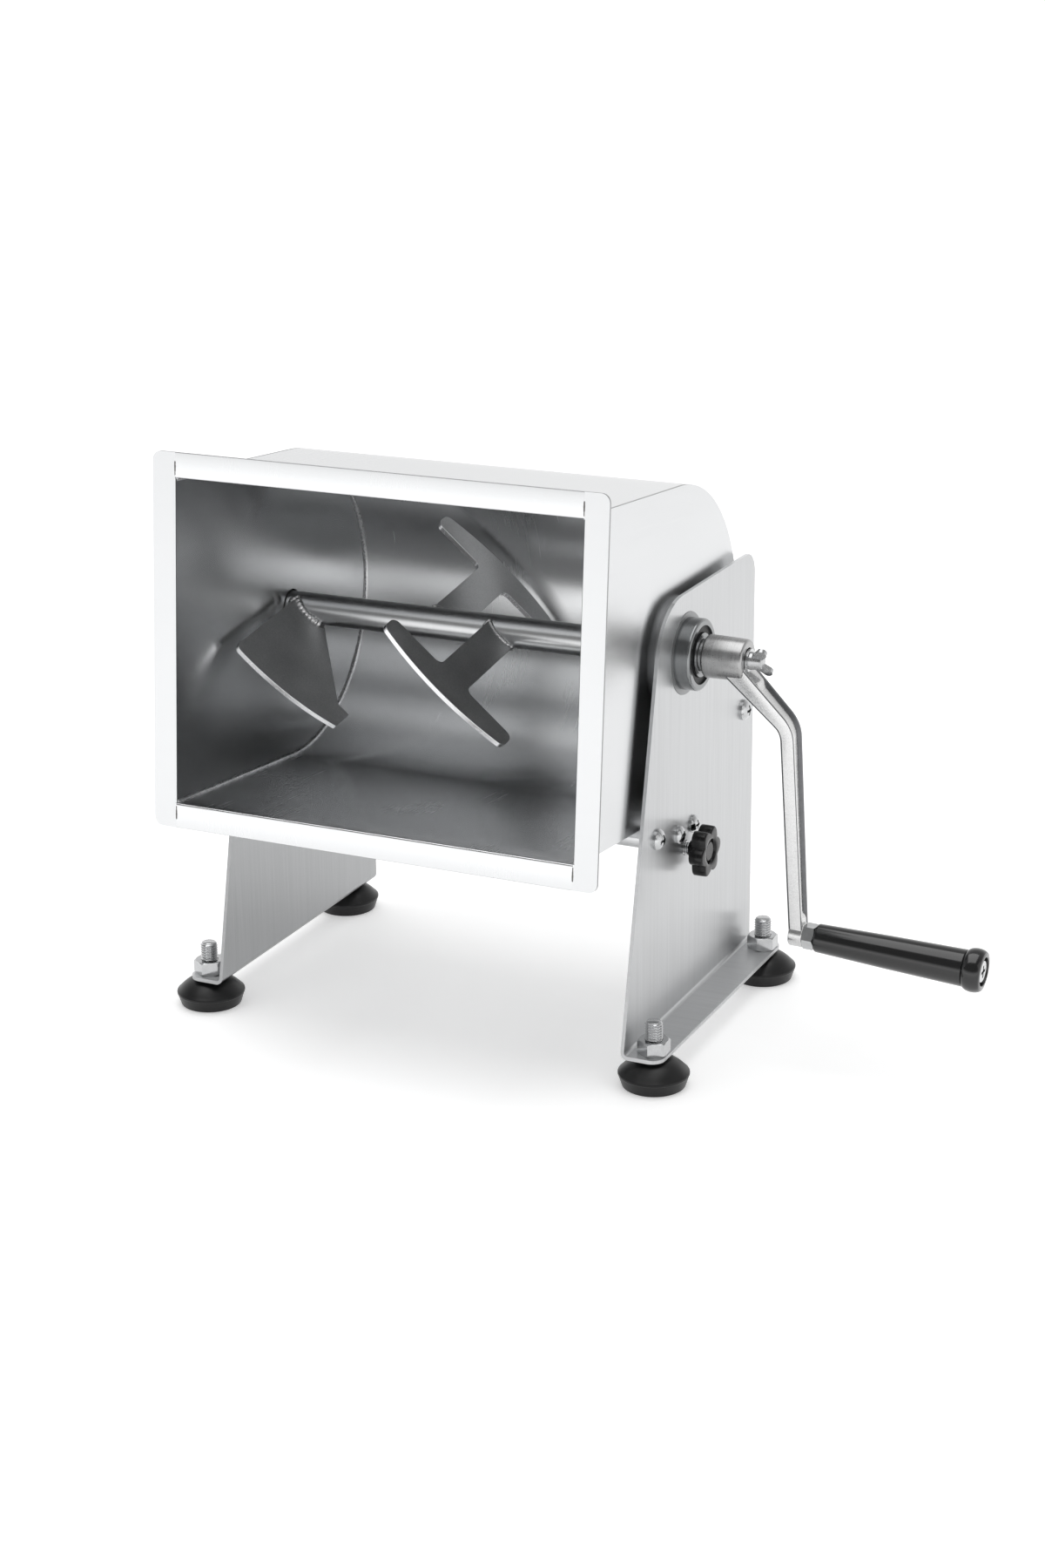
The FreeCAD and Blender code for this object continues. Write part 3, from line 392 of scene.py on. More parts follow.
def turned(profile, centre, along, steps=96, close=True, kind=0):
    """Profile (a, r) turned about a line: centre + a along + r (cos t side + sin t up), t round a circle."""
    along, side, up = across(along)
    t = np.linspace(0, 2 * np.pi, steps, endpoint=False)[:, None, None]
    a, r = profile.T[:, None, :, None]
    points = centre + a * along + r * (np.cos(t) * side + np.sin(t) * up)
    return sheet_of(points, rows=True, columns=close, kind=kind)


def threaded(centre, along, start, end, radius, pitch, depth, steps=40):
    """Screw: r = radius - depth * tri(a / pitch - t / turn), with a 45 degree cone at its end and a flat tip.

    The groove rises from its middle at a slope, and the tip's depth is in thread depths.
    """
    rings, middle, slope, tip = 10, 1.25, 2.5, 1.2
    along, side, up = across(along)
    a = np.arange(start, end + pitch / (2 * rings), pitch / rings)[:, None]
    t = np.linspace(0, 2 * np.pi, steps, endpoint=False)[None, :]
    phase = (a / pitch - t / (2 * np.pi)) % 1
    notch = np.clip(middle - slope * np.abs(phase - 0.5), 0, 1)
    r = np.minimum(radius - depth * notch, radius - tip * depth + (end - a))
    ring = np.cos(t)[..., None] * side + np.sin(t)[..., None] * up
    return sheet_of(centre + a[..., None] * along + r[..., None] * ring, columns=True, caps=True)


def bead(path, radius, ripple, square_to, close=False, steps=10, lumps=0.25):
    """Weld bead along a path: circles whose radius swells once a ripple and wanders with two slow sines."""
    rings, height, slow, quick, taper = 6, 0.20, 3.1, 1.3, 0.6
    path = evenly(path, ripple / rings, close)
    if close:
        along = unit(np.roll(path, -1, 0) - np.roll(path, 1, 0))
    else:
        along = unit(np.gradient(path, axis=0))
    side = unit(np.cross(along, square_to))
    up = np.cross(along, side)
    s = np.arange(len(path)) * ripple / rings
    wander = np.sin(s / (slow * ripple)) * np.sin(s / (quick * ripple))
    swell = 1 + height * np.abs(np.sin(np.pi * s / ripple)) + lumps * wander
    if not close:
        swell *= np.clip(np.minimum(s, s[-1] - s) / (taper * radius), 0.05, 1) ** 0.5
    t = np.linspace(0, 2 * np.pi, steps, endpoint=False)[None, :, None]
    r = (radius * swell)[:, None, None]
    points = path[:, None] + r * (np.cos(t) * side[:, None] + np.sin(t) * up[:, None])
    return sheet_of(points, rows=close, columns=True, caps=not close)


def hollow_weld(line, at, size, pour):
    """Corner weld ground hollow: the section p + r (a x + b n), a = 1 - sin t and b = 1 - cos t, 0 < t < 90.

    p runs along the corner in the upright tank, n points in from the trough, x in from the end wall, and r
    wanders with two slow sines. The section closes behind the corner, inside the sheet.
    """
    step, wander, slow, quick, behind = 0.0015, 0.14, 0.013, 0.0047, -0.12
    line = evenly(line, step)
    s = np.arange(len(line)) * step
    r = (size * (1 + wander * np.sin(s / slow) * np.sin(s / quick)))[:, None]
    inward = -unit(np.stack([line[:, 0], np.minimum(line[:, 1], 0)], -1))
    t = np.linspace(0, np.pi / 2, 8)
    a = np.append(1 - np.sin(t), behind)
    b = np.append(1 - np.cos(t), behind)
    y, z = in_tank(line[:, :1] + r * b * inward[:, :1], line[:, 1:] + r * b * inward[:, 1:], pour)
    return sheet_of(np.stack([at - np.sign(at - shaft[0]) * r * a, y, z], -1), columns=True, caps=True)


def shell_mesh(name, sheets, sharp):
    """One mesh from grids: a quad between four neighbours, ends capped, doubles merged, normals outwards."""
    points, faces, marks, kinds = [], [], [], []
    first = 0
    for sheet in sheets:
        m, n = sheet["points"].shape[:2]
        i = np.arange(m if sheet["rows"] else m - 1)[:, None]
        j = np.arange(n if sheet["columns"] else n - 1)[None, :]
        down, over = (i + 1) % m, (j + 1) % n
        quads = np.stack([i * n + j, i * n + over, down * n + over, down * n + j], -1).reshape(-1, 4)
        faces += (quads + first).tolist()
        kinds.append(np.broadcast_to(sheet["kind"], (i.size, j.size)).ravel())
        if sheet["uv"] is not None:
            marks.append(sheet["uv"].reshape(-1, 2)[quads.ravel()])
        if sheet["caps"]:
            ends = [np.arange(n), (m - 1) * n + np.arange(n)]
            faces += [(end + first).tolist() for end in ends]
            kinds.append(np.zeros(2, int))
            if sheet["uv"] is not None:
                marks += [sheet["uv"].reshape(-1, 2)[end] for end in ends]
        points.append(sheet["points"].reshape(-1, 3))
        first += m * n
    mesh = bpy.data.meshes.new(name)
    mesh.from_pydata(np.concatenate(points).tolist(), [], faces)
    mesh.polygons.foreach_set("material_index", np.concatenate(kinds).astype(np.int32))
    if marks:
        mesh.uv_layers.new(name="grain").data.foreach_set("uv", np.concatenate(marks).ravel())
    return tidied(mesh, sharp)


def tidied(mesh, sharp, flat=None):
    """Merge doubles, join flat triangles if asked, turn normals out, and keep edges over an angle sharp."""
    shell = bmesh.new()
    shell.from_mesh(mesh)
    bmesh.ops.remove_doubles(shell, verts=shell.verts, dist=1e-6)
    bmesh.ops.dissolve_degenerate(shell, edges=shell.edges, dist=1e-7)
    if flat:
        bmesh.ops.dissolve_limit(shell, angle_limit=math.radians(flat), verts=shell.verts, edges=shell.edges)
    bmesh.ops.recalc_face_normals(shell, faces=shell.faces)
    shell.to_mesh(mesh)
    shell.free()
    mesh.shade_smooth()
    mesh.set_sharp_from_angle(angle=math.radians(sharp))
    return mesh


def place(name, mesh, body, slot, nodes=(), materials=()):
    """Put a mesh into the scene as a piece that rides on a body and stands for CAD nodes."""
    piece = bpy.data.objects.new(name, mesh)
    bpy.context.scene.collection.objects.link(piece)
    for material in materials or (slot,):
        mesh.materials.append(finishes[material])
    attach(piece, body)
    if nodes:
        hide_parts(*nodes)
    return piece


def values(items, name, kind=float, width=1):
    """One property of all vertices, edges, corners or faces of a mesh, as an array of a given width."""
    found = np.empty(len(items) * width, kind)
    items.foreach_get(name, found)
    return found if width == 1 else found.reshape(-1, width)


def cut_faces(mesh, thick):
    """Faces left by the cutter: small, with at least two sides as long as the sheet is thick."""
    most_sides, tolerance = 6, 0.03
    ends = values(mesh.edges, "vertices", int, 2)
    near, far = values(mesh.vertices, "co", width=3)[ends].transpose(1, 0, 2)
    fits = np.abs(np.linalg.norm(far - near, axis=1) / thick - 1) < tolerance
    fits = fits[values(mesh.loops, "edge_index", int)].astype(int)
    matches = np.add.reduceat(fits, values(mesh.polygons, "loop_start", int))
    return (matches > 1) & (values(mesh.polygons, "loop_total", int) <= most_sides)


def painted_light_faces(mesh):
    """Faces that lie flat and look up: they get the paler flange finish, painted light from above."""
    nearly_up = 0.95
    return values(mesh.polygons, "normal", width=3)[:, 2] > nearly_up


def softened(node, name, body, slot, width, segments=2, lean=0.0, material=None, other=None, chosen=None):
    """A CAD piece with its edges broken: its triangles merged and joined, and every sharp edge bevelled.

    The grain map runs across the piece front to back, and along it up the sheet and round its bends, on a
    piece that leans forward by an angle about the shaft. The faces that a function has chosen have the other
    finish.
    """
    flat, smooth, bevelled = 0.4, 30, 40  # degrees
    source = frame["nodes"][node].data
    corners = values(source.loops, "vertex_index", int).reshape(-1, 3)
    mesh = bpy.data.meshes.new(name)
    mesh.from_pydata(values(source.vertices, "co", width=3).tolist(), [], corners.tolist())
    tidied(mesh, smooth, flat)
    spots = values(mesh.vertices, "co", width=3)
    x, y, z = (spots - shaft)[values(mesh.loops, "vertex_index", int)].T
    y, z = y * math.cos(lean) + z * math.sin(lean), z * math.cos(lean) - y * math.sin(lean)
    mesh.uv_layers.new(name="grain").data.foreach_set("uv", np.stack([y, z + np.abs(x)], -1).ravel())
    if other:
        mesh.polygons.foreach_set("material_index", chosen(mesh).astype(np.int32))
    piece = place(name, mesh, body, slot, [node], [material or slot] + [other] * bool(other))
    bevel = piece.modifiers.new("edge", "BEVEL")
    bevel.width = width
    bevel.segments = segments
    bevel.limit_method = "ANGLE"
    bevel.angle_limit = math.radians(bevelled)
    bevel.harden_normals = True
    return piece


def in_tank(y, z, pour):
    """Row-frame Y and Z of a point that is y to the side and z towards the mouth of the upright tank."""
    cos, sin = math.cos(pour), math.sin(pour)
    return shaft[1] + y * cos - z * sin, shaft[2] + y * sin + z * cos


# Operators

class MIXER_OT_finishes(bpy.types.Operator):
    """Make every finish and give each CAD node the one its record names"""
    bl_idname = "mixer.finishes"
    bl_label = "Finishes"

    def execute(self, context):
        finishes.update(make_finishes(context.scene.mixer_colours, context.scene.mixer_sizes.pour))
        for part in frame["record"]["subparts"]:
            node = frame["nodes"][part["node"]]
            node.data.materials.clear()
            dull = part["node"].endswith("trunnion")
            node.data.materials.append(finishes["dull_turned" if dull else part["material_slot"]])
        return {"FINISHED"}


class MIXER_OT_plates(bpy.types.Operator):
    """Side plates and tank ends: sheet with broken edges and a brushed grain"""
    bl_idname = "mixer.plates"
    bl_label = "Sheet pieces"

    def execute(self, context):
        sizes = context.scene.mixer_sizes
        edge = sizes.sheet_edge
        for side in ("left", "right"):
            softened(f"{side}_side_plate", f"{side}_brushed_plate", "stand", "brushed_stainless_sheet", edge,
                     material=f"{side}_sheet", other="painted_light_flange_sheet", chosen=painted_light_faces)
            softened(f"{side}_tank_end", f"{side}_brushed_end", "tank", "brushed_stainless_sheet", edge,
                     lean=sizes.pour, other="sheared_edge", chosen=partial(cut_faces, thick=sizes.tank_sheet))
        return {"FINISHED"}


class MIXER_OT_trough(bpy.types.Operator):
    """Trough: a closed U section with its rim strips, carried along the shaft"""
    bl_idname = "mixer.trough"
    bl_label = "Trough"

    def execute(self, context):
        sizes = context.scene.mixer_sizes
        inner, outer = sizes.tank_radius, sizes.tank_radius + sizes.tank_sheet
        tip, top = inner + sizes.rim_width, sizes.mouth_reach
        under, edge, stations = top - sizes.tank_sheet, 0.0003, 25
        lip = rounded([(outer, under, 0), (tip, under, edge), (tip, top, edge), (inner, top, sizes.rim_bend),
                       (inner, 0, 0)], close=False)
        lip = np.concatenate([lip[:-1], np.stack([np.full(7, inner), np.linspace(lip[-2, 1], 0, 8)[1:]], -1)])
        bend = np.linspace(0, -np.pi, 97)[1:-1]
        hollow = inner * np.stack([np.cos(bend), np.sin(bend)], -1)
        back = outer * np.stack([np.cos(bend[::-1]), np.sin(bend[::-1])], -1)
        wall = np.stack([np.full(8, outer), np.linspace(under, 0, 8)], -1)
        flip = np.array([-1, 1])
        section = np.concatenate([lip, hollow, lip[::-1] * flip, wall[1:] * flip, back, wall[::-1]])
        low, high = (np.array(corner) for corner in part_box("tank_wrapper"))
        x = np.linspace(low[0], high[0], stations)
        y, z = in_tank(section[:, 0], section[:, 1], sizes.pour)
        far = np.concatenate([[0], np.cumsum(np.linalg.norm(np.diff(section, axis=0), axis=1))])
        shape = (len(x), len(section))
        points = np.stack([np.broadcast_to(x[:, None], shape), np.broadcast_to(y, shape),
                           np.broadcast_to(z, shape)], -1)
        grain = np.stack([np.broadcast_to(x[:, None], shape), np.broadcast_to(far, shape)], -1)
        cut = np.abs(section[1:, 0] + section[:-1, 0]) / 2 > tip - edge * 2 / 3
        mesh = shell_mesh("brushed_trough", [sheet_of(points, caps=True, uv=grain, kind=cut)], 40)
        place("brushed_trough", mesh, "tank", "brushed_stainless_sheet", ["tank_wrapper"],
              ["trough_sheet", "sheared_edge"])
        return {"FINISHED"}


class MIXER_OT_tank_seams(bpy.types.Operator):
    """Seam beads along the end walls inside the trough, and short ones across the rim corners"""
    bl_idname = "mixer.tank_seams"
    bl_label = "Tank seams"

    def execute(self, context):
        sizes = context.scene.mixer_sizes
        low, high = (np.array(corner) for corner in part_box("tank_wrapper"))
        inner, top = sizes.tank_radius, sizes.mouth_reach
        short, sunk, spare, points = 0.002, 0.0004, 0.0045, 12
        bend = np.linspace(0, -np.pi, 181)
        line = np.concatenate([[[inner, top - short]], inner * np.stack([np.cos(bend), np.sin(bend)], -1),
                               [[-inner, top - short]]])
        seams, ticks = [], []
        for x in (low[0], high[0]):
            seams.append(hollow_weld(line, x, sizes.seam_bead, sizes.pour))
            for side in (-1, 1):
                out = np.linspace(inner + sizes.rim_bend, inner + sizes.rim_width - spare, points) * side
                y, z = in_tank(out, np.full(points, top - sunk), sizes.pour)
                tick = np.stack([np.full(points, x), y, z], -1)
                ticks.append(bead(tick, sizes.rim_bead, 0.9 * sizes.ripple, (1, 0, 0), lumps=0.7))
        place("tank_end_seams", shell_mesh("tank_end_seams", seams, 60), "tank", "brushed_stainless_sheet",
              materials=["ground_weld"])
        place("rim_corner_seams", shell_mesh("rim_corner_seams", ticks, 60), "tank",
              "brushed_stainless_sheet", materials=["burnt_weld"])
        return {"FINISHED"}


class MIXER_OT_paddles(bpy.types.Operator):
    """Paddles: cut plate with its edges broken, and the fillet welds at their roots"""
    bl_idname = "mixer.paddles"
    bl_label = "Paddles"

    def execute(self, context):
        sizes = context.scene.mixer_sizes
        nodes = ("left_end_paddle", "right_end_paddle", "front_tee_paddle", "rear_tee_paddle")
        for node in nodes:
            softened(node, node + "_plate", "rotor", "cut_stainless_plate", sizes.plate_edge,
                     other="cut_edge", chosen=partial(cut_faces, thick=sizes.plate_sheet))
        turn, pitch, half = 188.5, 44, 0.010
        welds = [self.root(sizes, 0.017, -half, half, turn, pitch),
                 self.root(sizes, -0.0225, -half, half, turn + 180, -pitch)]
        left = self.root(sizes, -0.1070, -half, 0.0112, turn, pitch)
        welds += [left, -left]
        beads = [bead(shaft + path, sizes.root_bead * size, sizes.ripple, (0, 0.3, 1), close=True)
                 for path, size in zip(welds, (0.7, 0.7, 1.4, 1.4))]
        place("paddle_root_welds", shell_mesh("paddle_root_welds", beads, 60), "rotor", "cut_stainless_plate",
              materials=["weld"])
        return {"FINISHED"}

    def root(self, sizes, at, first, last, turn, pitch):
        """Closed line where a pitched plate meets the shaft: v = sqrt(r^2 - (u sin p + w cos p)^2)."""
        turn, pitch = math.radians(turn), math.radians(pitch)
        half, proud, step = 0.0017, 0.0003, 0.0004
        loop = evenly(np.array([(first, half), (last, half), (last, -half), (first, -half)]), step, True)
        u, w = loop.T
        flat = u * math.sin(pitch) + w * math.cos(pitch)
        v = np.sqrt((sizes.shaft_radius + proud) ** 2 - flat ** 2)
        return np.stack([at + u * math.cos(pitch) - w * math.sin(pitch),
                         v * math.cos(turn) - flat * math.sin(turn),
                         v * math.sin(turn) + flat * math.cos(turn)], -1)


class MIXER_OT_crank(bpy.types.Operator):
    """Crank casting: a turned hub, a channelled arm carried along its bent line, and a round boss"""
    bl_idname = "mixer.crank"
    bl_label = "Crank"

    def execute(self, context):
        sizes = context.scene.mixer_sizes
        edge = sizes.casting_edge
        root = np.array([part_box("crank_arm")[0][0], shaft[1], shaft[2]])
        bore, wide, end, reach = 0.0071, 0.0120, 0.0115, 0.0235
        hub = rounded([(0, bore, 0), (0, wide, 0.001), (reach, end, 0.0016), (reach, bore, 0)])
        # The arm's line, (out, up, rounding): from the hub to the bend and down to the boss
        throw, station = 0.154, 0.0015
        line = rounded([(0.0150, -0.0030, 0), (0.0485, -0.0350, 0.016), (0.0555, -throw, 0)], 24, close=False)
        line = evenly(line, station)
        path = root + np.stack([line[:, 0], np.zeros(len(line)), line[:, 1]], -1)
        along = unit(np.gradient(path, axis=0))
        out = np.cross(np.array([0, 1.0, 0]), along)
        out *= np.sign(out[:, :1])
        side = np.broadcast_to([0.0, 1.0, 0.0], path.shape)
        drop = -line[:, 1]
        width = np.interp(drop, [0, 0.038, throw], [0.017, 0.014, 0.011])
        thick = np.interp(drop, [0, 0.034, throw], [0.0115, 0.0080, 0.0080])
        deep, first, last, fade = 0.0016, 0.0145, 0.1445, 0.003
        depth = deep * np.clip((drop - first) / fade, 0, 1) * np.clip((last - drop) / fade, 0, 1)
        arm = self.channel(width, thick, depth, edge)
        points = path[:, None] + arm[..., :1] * side[:, None] + arm[..., 1:] * out[:, None]
        spin = joints["grip_spin"]
        hole, round_boss, long, soft = 0.00402, 0.007, 0.008, edge * 0.6
        boss = rounded([(0, hole, 0), (0, round_boss, soft), (long, round_boss, soft), (long, hole, 0)])
        # Columns of the section with painted shade, a dark finish: the rear rib, and roundings of the front edges
        skin = np.isin(np.arange(40), [*range(5, 19), 31, 32, *range(35, 39)]) * 2
        sheets = [turned(hub, root, (1, 0, 0), kind=1), sheet_of(points, columns=True, caps=True, kind=skin),
                  turned(boss, np.array(spin["pos_m"]), spin["axis"], 64)]
        place("crank_casting", shell_mesh("crank_casting", sheets, 42), "rotor", "plated_casting",
              ["crank_arm"], ["plated_casting", "turned_hub", "painted_shade_casting"])
        return {"FINISHED"}

    def channel(self, width, thick, depth, edge):
        """Section of the arm at each station: a rounded bar with a shallow channel between two ribs outside.

        A corner at +-half the width and thickness moves with them; the channel's floor moves with the depth.
        """
        w, h, d, rib, slant, crest, foot = 0.014, 0.008, 0.0016, 0.0024, 0.0006, 0.0004, 0.0005
        low, top = -h / 2, h / 2
        outline = [(w / 2, low, edge), (w / 2, top, edge * 0.55), (w / 2 - rib, top, crest),
                   (w / 2 - rib - slant, top - d, foot)]
        mirror = [(-y, n, r) for y, n, r in outline[::-1]]
        y, n = rounded(outline + mirror, 5).T
        sunk = np.where((n > 0) & (np.abs(y) < w / 2 - rib + foot), np.clip((top - n) / d, 0, 1), 0)
        wide = np.sign(y) * (width[:, None] - w) / 2 + y
        high = n + sunk * d + np.sign(n) * (thick[:, None] - h) / 2 - sunk * depth[:, None]
        return np.stack([wide, high], -1)


class MIXER_OT_grip(bpy.types.Operator):
    """Turning handle: a tapered profile with a bead at its end, turned about the spindle"""
    bl_idname = "mixer.grip"
    bl_label = "Grip"

    def execute(self, context):
        spin = joints["grip_spin"]
        # Points are (along, radius, rounding) from the boss
        start, bore, neck, floor = 0.0148, 0.0041, 0.0098, 0.1068
        body = rounded([(start, bore, 0), (start, 0.0080, 0.0014), (0.0560, 0.0093, 0.05),
                        (0.0998, 0.0103, 0.0006), (0.1003, neck, 0)], 9, close=False)
        # Bead at the end: half an ellipse in a and r
        middle, half_long, high = 0.1056, 0.0052, 0.0024
        swing = np.linspace(np.pi, 0.12 * np.pi, 33)[1:]
        ring = np.stack([middle + half_long * np.cos(swing), neck + high * np.sin(swing)], -1)
        hole = rounded([ring[-1].tolist() + [0], (0.11078, 0.0080, 0.0006), (floor, 0.0075, 0.0004),
                        (floor, bore, 0)], 7, close=False)
        profile = np.concatenate([body, ring, hole[1:]])
        mesh = shell_mesh("turning_grip", [turned(profile, np.array(spin["pos_m"]), spin["axis"], 128)], 40)
        place("turning_grip", mesh, "grip", "black_grip_plastic", ["crank_grip"])
        return {"FINISHED"}


class MIXER_OT_wing_screw(bpy.types.Operator):
    """Wing screw: the cast wings and boss with rounded edges"""
    bl_idname = "mixer.wing_screw"
    bl_label = "Wing screw"

    def execute(self, context):
        sizes = context.scene.mixer_sizes
        softened("wing_screw", "cast_wing_screw", "wing_screw", "zinc_plated_steel", sizes.wing_edge,
                 material="cast_wing")
        return {"FINISHED"}


class MIXER_OT_knob(bpy.types.Operator):
    """Star knob: stations along its axis, each a mix of a circle and a six-lobed star"""
    bl_idname = "mixer.knob"
    bl_label = "Star knob"

    def execute(self, context):
        turn = joints["lock_turn"]
        centre = np.array(turn["pos_m"])
        # Each station is (out from the plate, circle radius, share of star, scale of star); lengths are in mm
        lobes, lean, valley, height, roundness = 6, math.radians(4), 11.0, 3.5, 0.6
        stations = np.array([
            (11.6, 0.01, 0, 1), (11.6, 4.02, 0, 1), (3.4, 4.02, 0, 1), (3.4, 4.7, 0, 1), (3.7, 5.0, 0, 1),
            (7.2, 5.0, 0, 1), (7.6, 5.4, 0, 1), (7.6, 7.5, 0.4, 0.85), (7.6, 9, 1, 0.955), (7.75, 9, 1, 0.98),
            (8.2, 9, 1, 1), (11, 9, 1, 1), (14.9, 9, 1, 0.992), (15.4, 9, 1, 0.975), (15.7, 9, 1, 0.945),
            (15.8, 9, 1, 0.90), (15.8, 8.4, 0.4, 0.85), (15.75, 7.7, 0, 1), (15.5, 7.25, 0, 1),
            (14.2, 6.85, 0, 1), (13.6, 6.6, 0, 1), (13.6, 0.01, 0, 1)])
        out, circle, share, scale = stations.T[:, :, None]
        t = np.linspace(0, 2 * np.pi, 144, endpoint=False)[None, :]
        lobe = 0.5 + 0.5 * np.cos(lobes * (t - lean))
        star = valley + height * lobe ** roundness
        r = ((1 - share) * circle + share * scale * star) * mm
        points = np.stack([np.broadcast_to(centre[0] + out * mm, r.shape), centre[1] + r * np.cos(t),
                           centre[2] + r * np.sin(t)], -1)
        mesh = shell_mesh("star_knob", [sheet_of(points, columns=True, caps=True)], 50)
        place("star_knob", mesh, "lock_knob", "black_knob_plastic", ["lock_knob"])
        return {"FINISHED"}


class MIXER_OT_studs(bpy.types.Operator):
    """Threaded studs of the feet and the tilt lock"""
    bl_idname = "mixer.studs"
    bl_label = "Studs"

    def execute(self, context):
        sizes = context.scene.mixer_sizes
        thick, axis, seat, top, wide, edge = sizes.foot_radius, 0.0001, 0.0155, 0.0170, 0.0070, 0.0003
        for foot in feet:
            low, high = (np.array(corner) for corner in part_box(f"{foot}_foot_stud"))
            centre = np.array([(low[0] + high[0]) / 2, (low[1] + high[1]) / 2, 0])
            collar = rounded([(low[2], axis, 0), (low[2], thick, 0), (seat, thick, 0), (seat, wide, edge),
                              (top, wide, edge), (top, axis, 0)])
            screw = threaded(centre, (0, 0, 1), top - 0.0001, high[2], thick, sizes.foot_pitch,
                             sizes.foot_depth)
            mesh = shell_mesh(f"{foot}_threaded_stud", [turned(collar, centre, (0, 0, 1), 48), screw], 50)
            place(f"{foot}_threaded_stud", mesh, f"{foot}_foot", "zinc_plated_steel", [f"{foot}_foot_stud"])
        low, high = (np.array(corner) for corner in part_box("lock_stud"))
        centre = np.array([low[0], *joints["lock_turn"]["pos_m"][1:]])
        screw = threaded(centre, (1, 0, 0), 0, high[0] - low[0], sizes.lock_radius, sizes.lock_pitch,
                         sizes.lock_depth)
        place("lock_threaded_stud", shell_mesh("lock_threaded_stud", [screw], 50), "lock_stud",
              "zinc_plated_steel", ["lock_stud"])
        return {"FINISHED"}


class MIXER_OT_pads(bpy.types.Operator):
    """Rubber pads of the feet: a turned profile with a domed top and a moulded lip"""
    bl_idname = "mixer.pads"
    bl_label = "Foot pads"

    def execute(self, context):
        # Points are (up, radius), or (up, radius, rounding), in mm; the dome falls as a power of the radius
        top, neck, shoulder, widest, fall, power, bore, floor = 15.5, 7.5, 18.6, 19.85, 6.4, 1.9, 5.02, 7.5
        out = np.linspace(shoulder, neck + 0.1, 18)
        dome = np.stack([top - fall * ((out - neck) / (shoulder - neck)) ** power, out], -1)
        side = rounded([(0.0, 12.0, 0), (0.0, 17.5, 0.9), (6.6, 19.6, 0.25), (6.9, widest, 0.3),
                        (8.0, widest, 0.9), (top - fall, shoulder, 0)], 7, close=False)[:-1]
        under = np.array([(0.6, 0.01), (0.6, 11.4), (0.0, 12.0)])
        socket = np.array([(top, neck), (top, bore), (floor, bore), (floor, 0.01)])
        profile = np.concatenate([under, side[1:], dome, socket]) * mm
        for foot in feet:
            low, high = (np.array(corner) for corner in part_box(f"{foot}_foot_pad"))
            centre = np.array([(low[0] + high[0]) / 2, (low[1] + high[1]) / 2, 0])
            pad = turned(profile, centre, (0, 0, 1), 112, close=False)
            mesh = shell_mesh(f"{foot}_rubber_pad", [pad], 38)
            place(f"{foot}_rubber_pad", mesh, f"{foot}_foot", "moulded_rubber", [f"{foot}_foot_pad"])
        return {"FINISHED"}


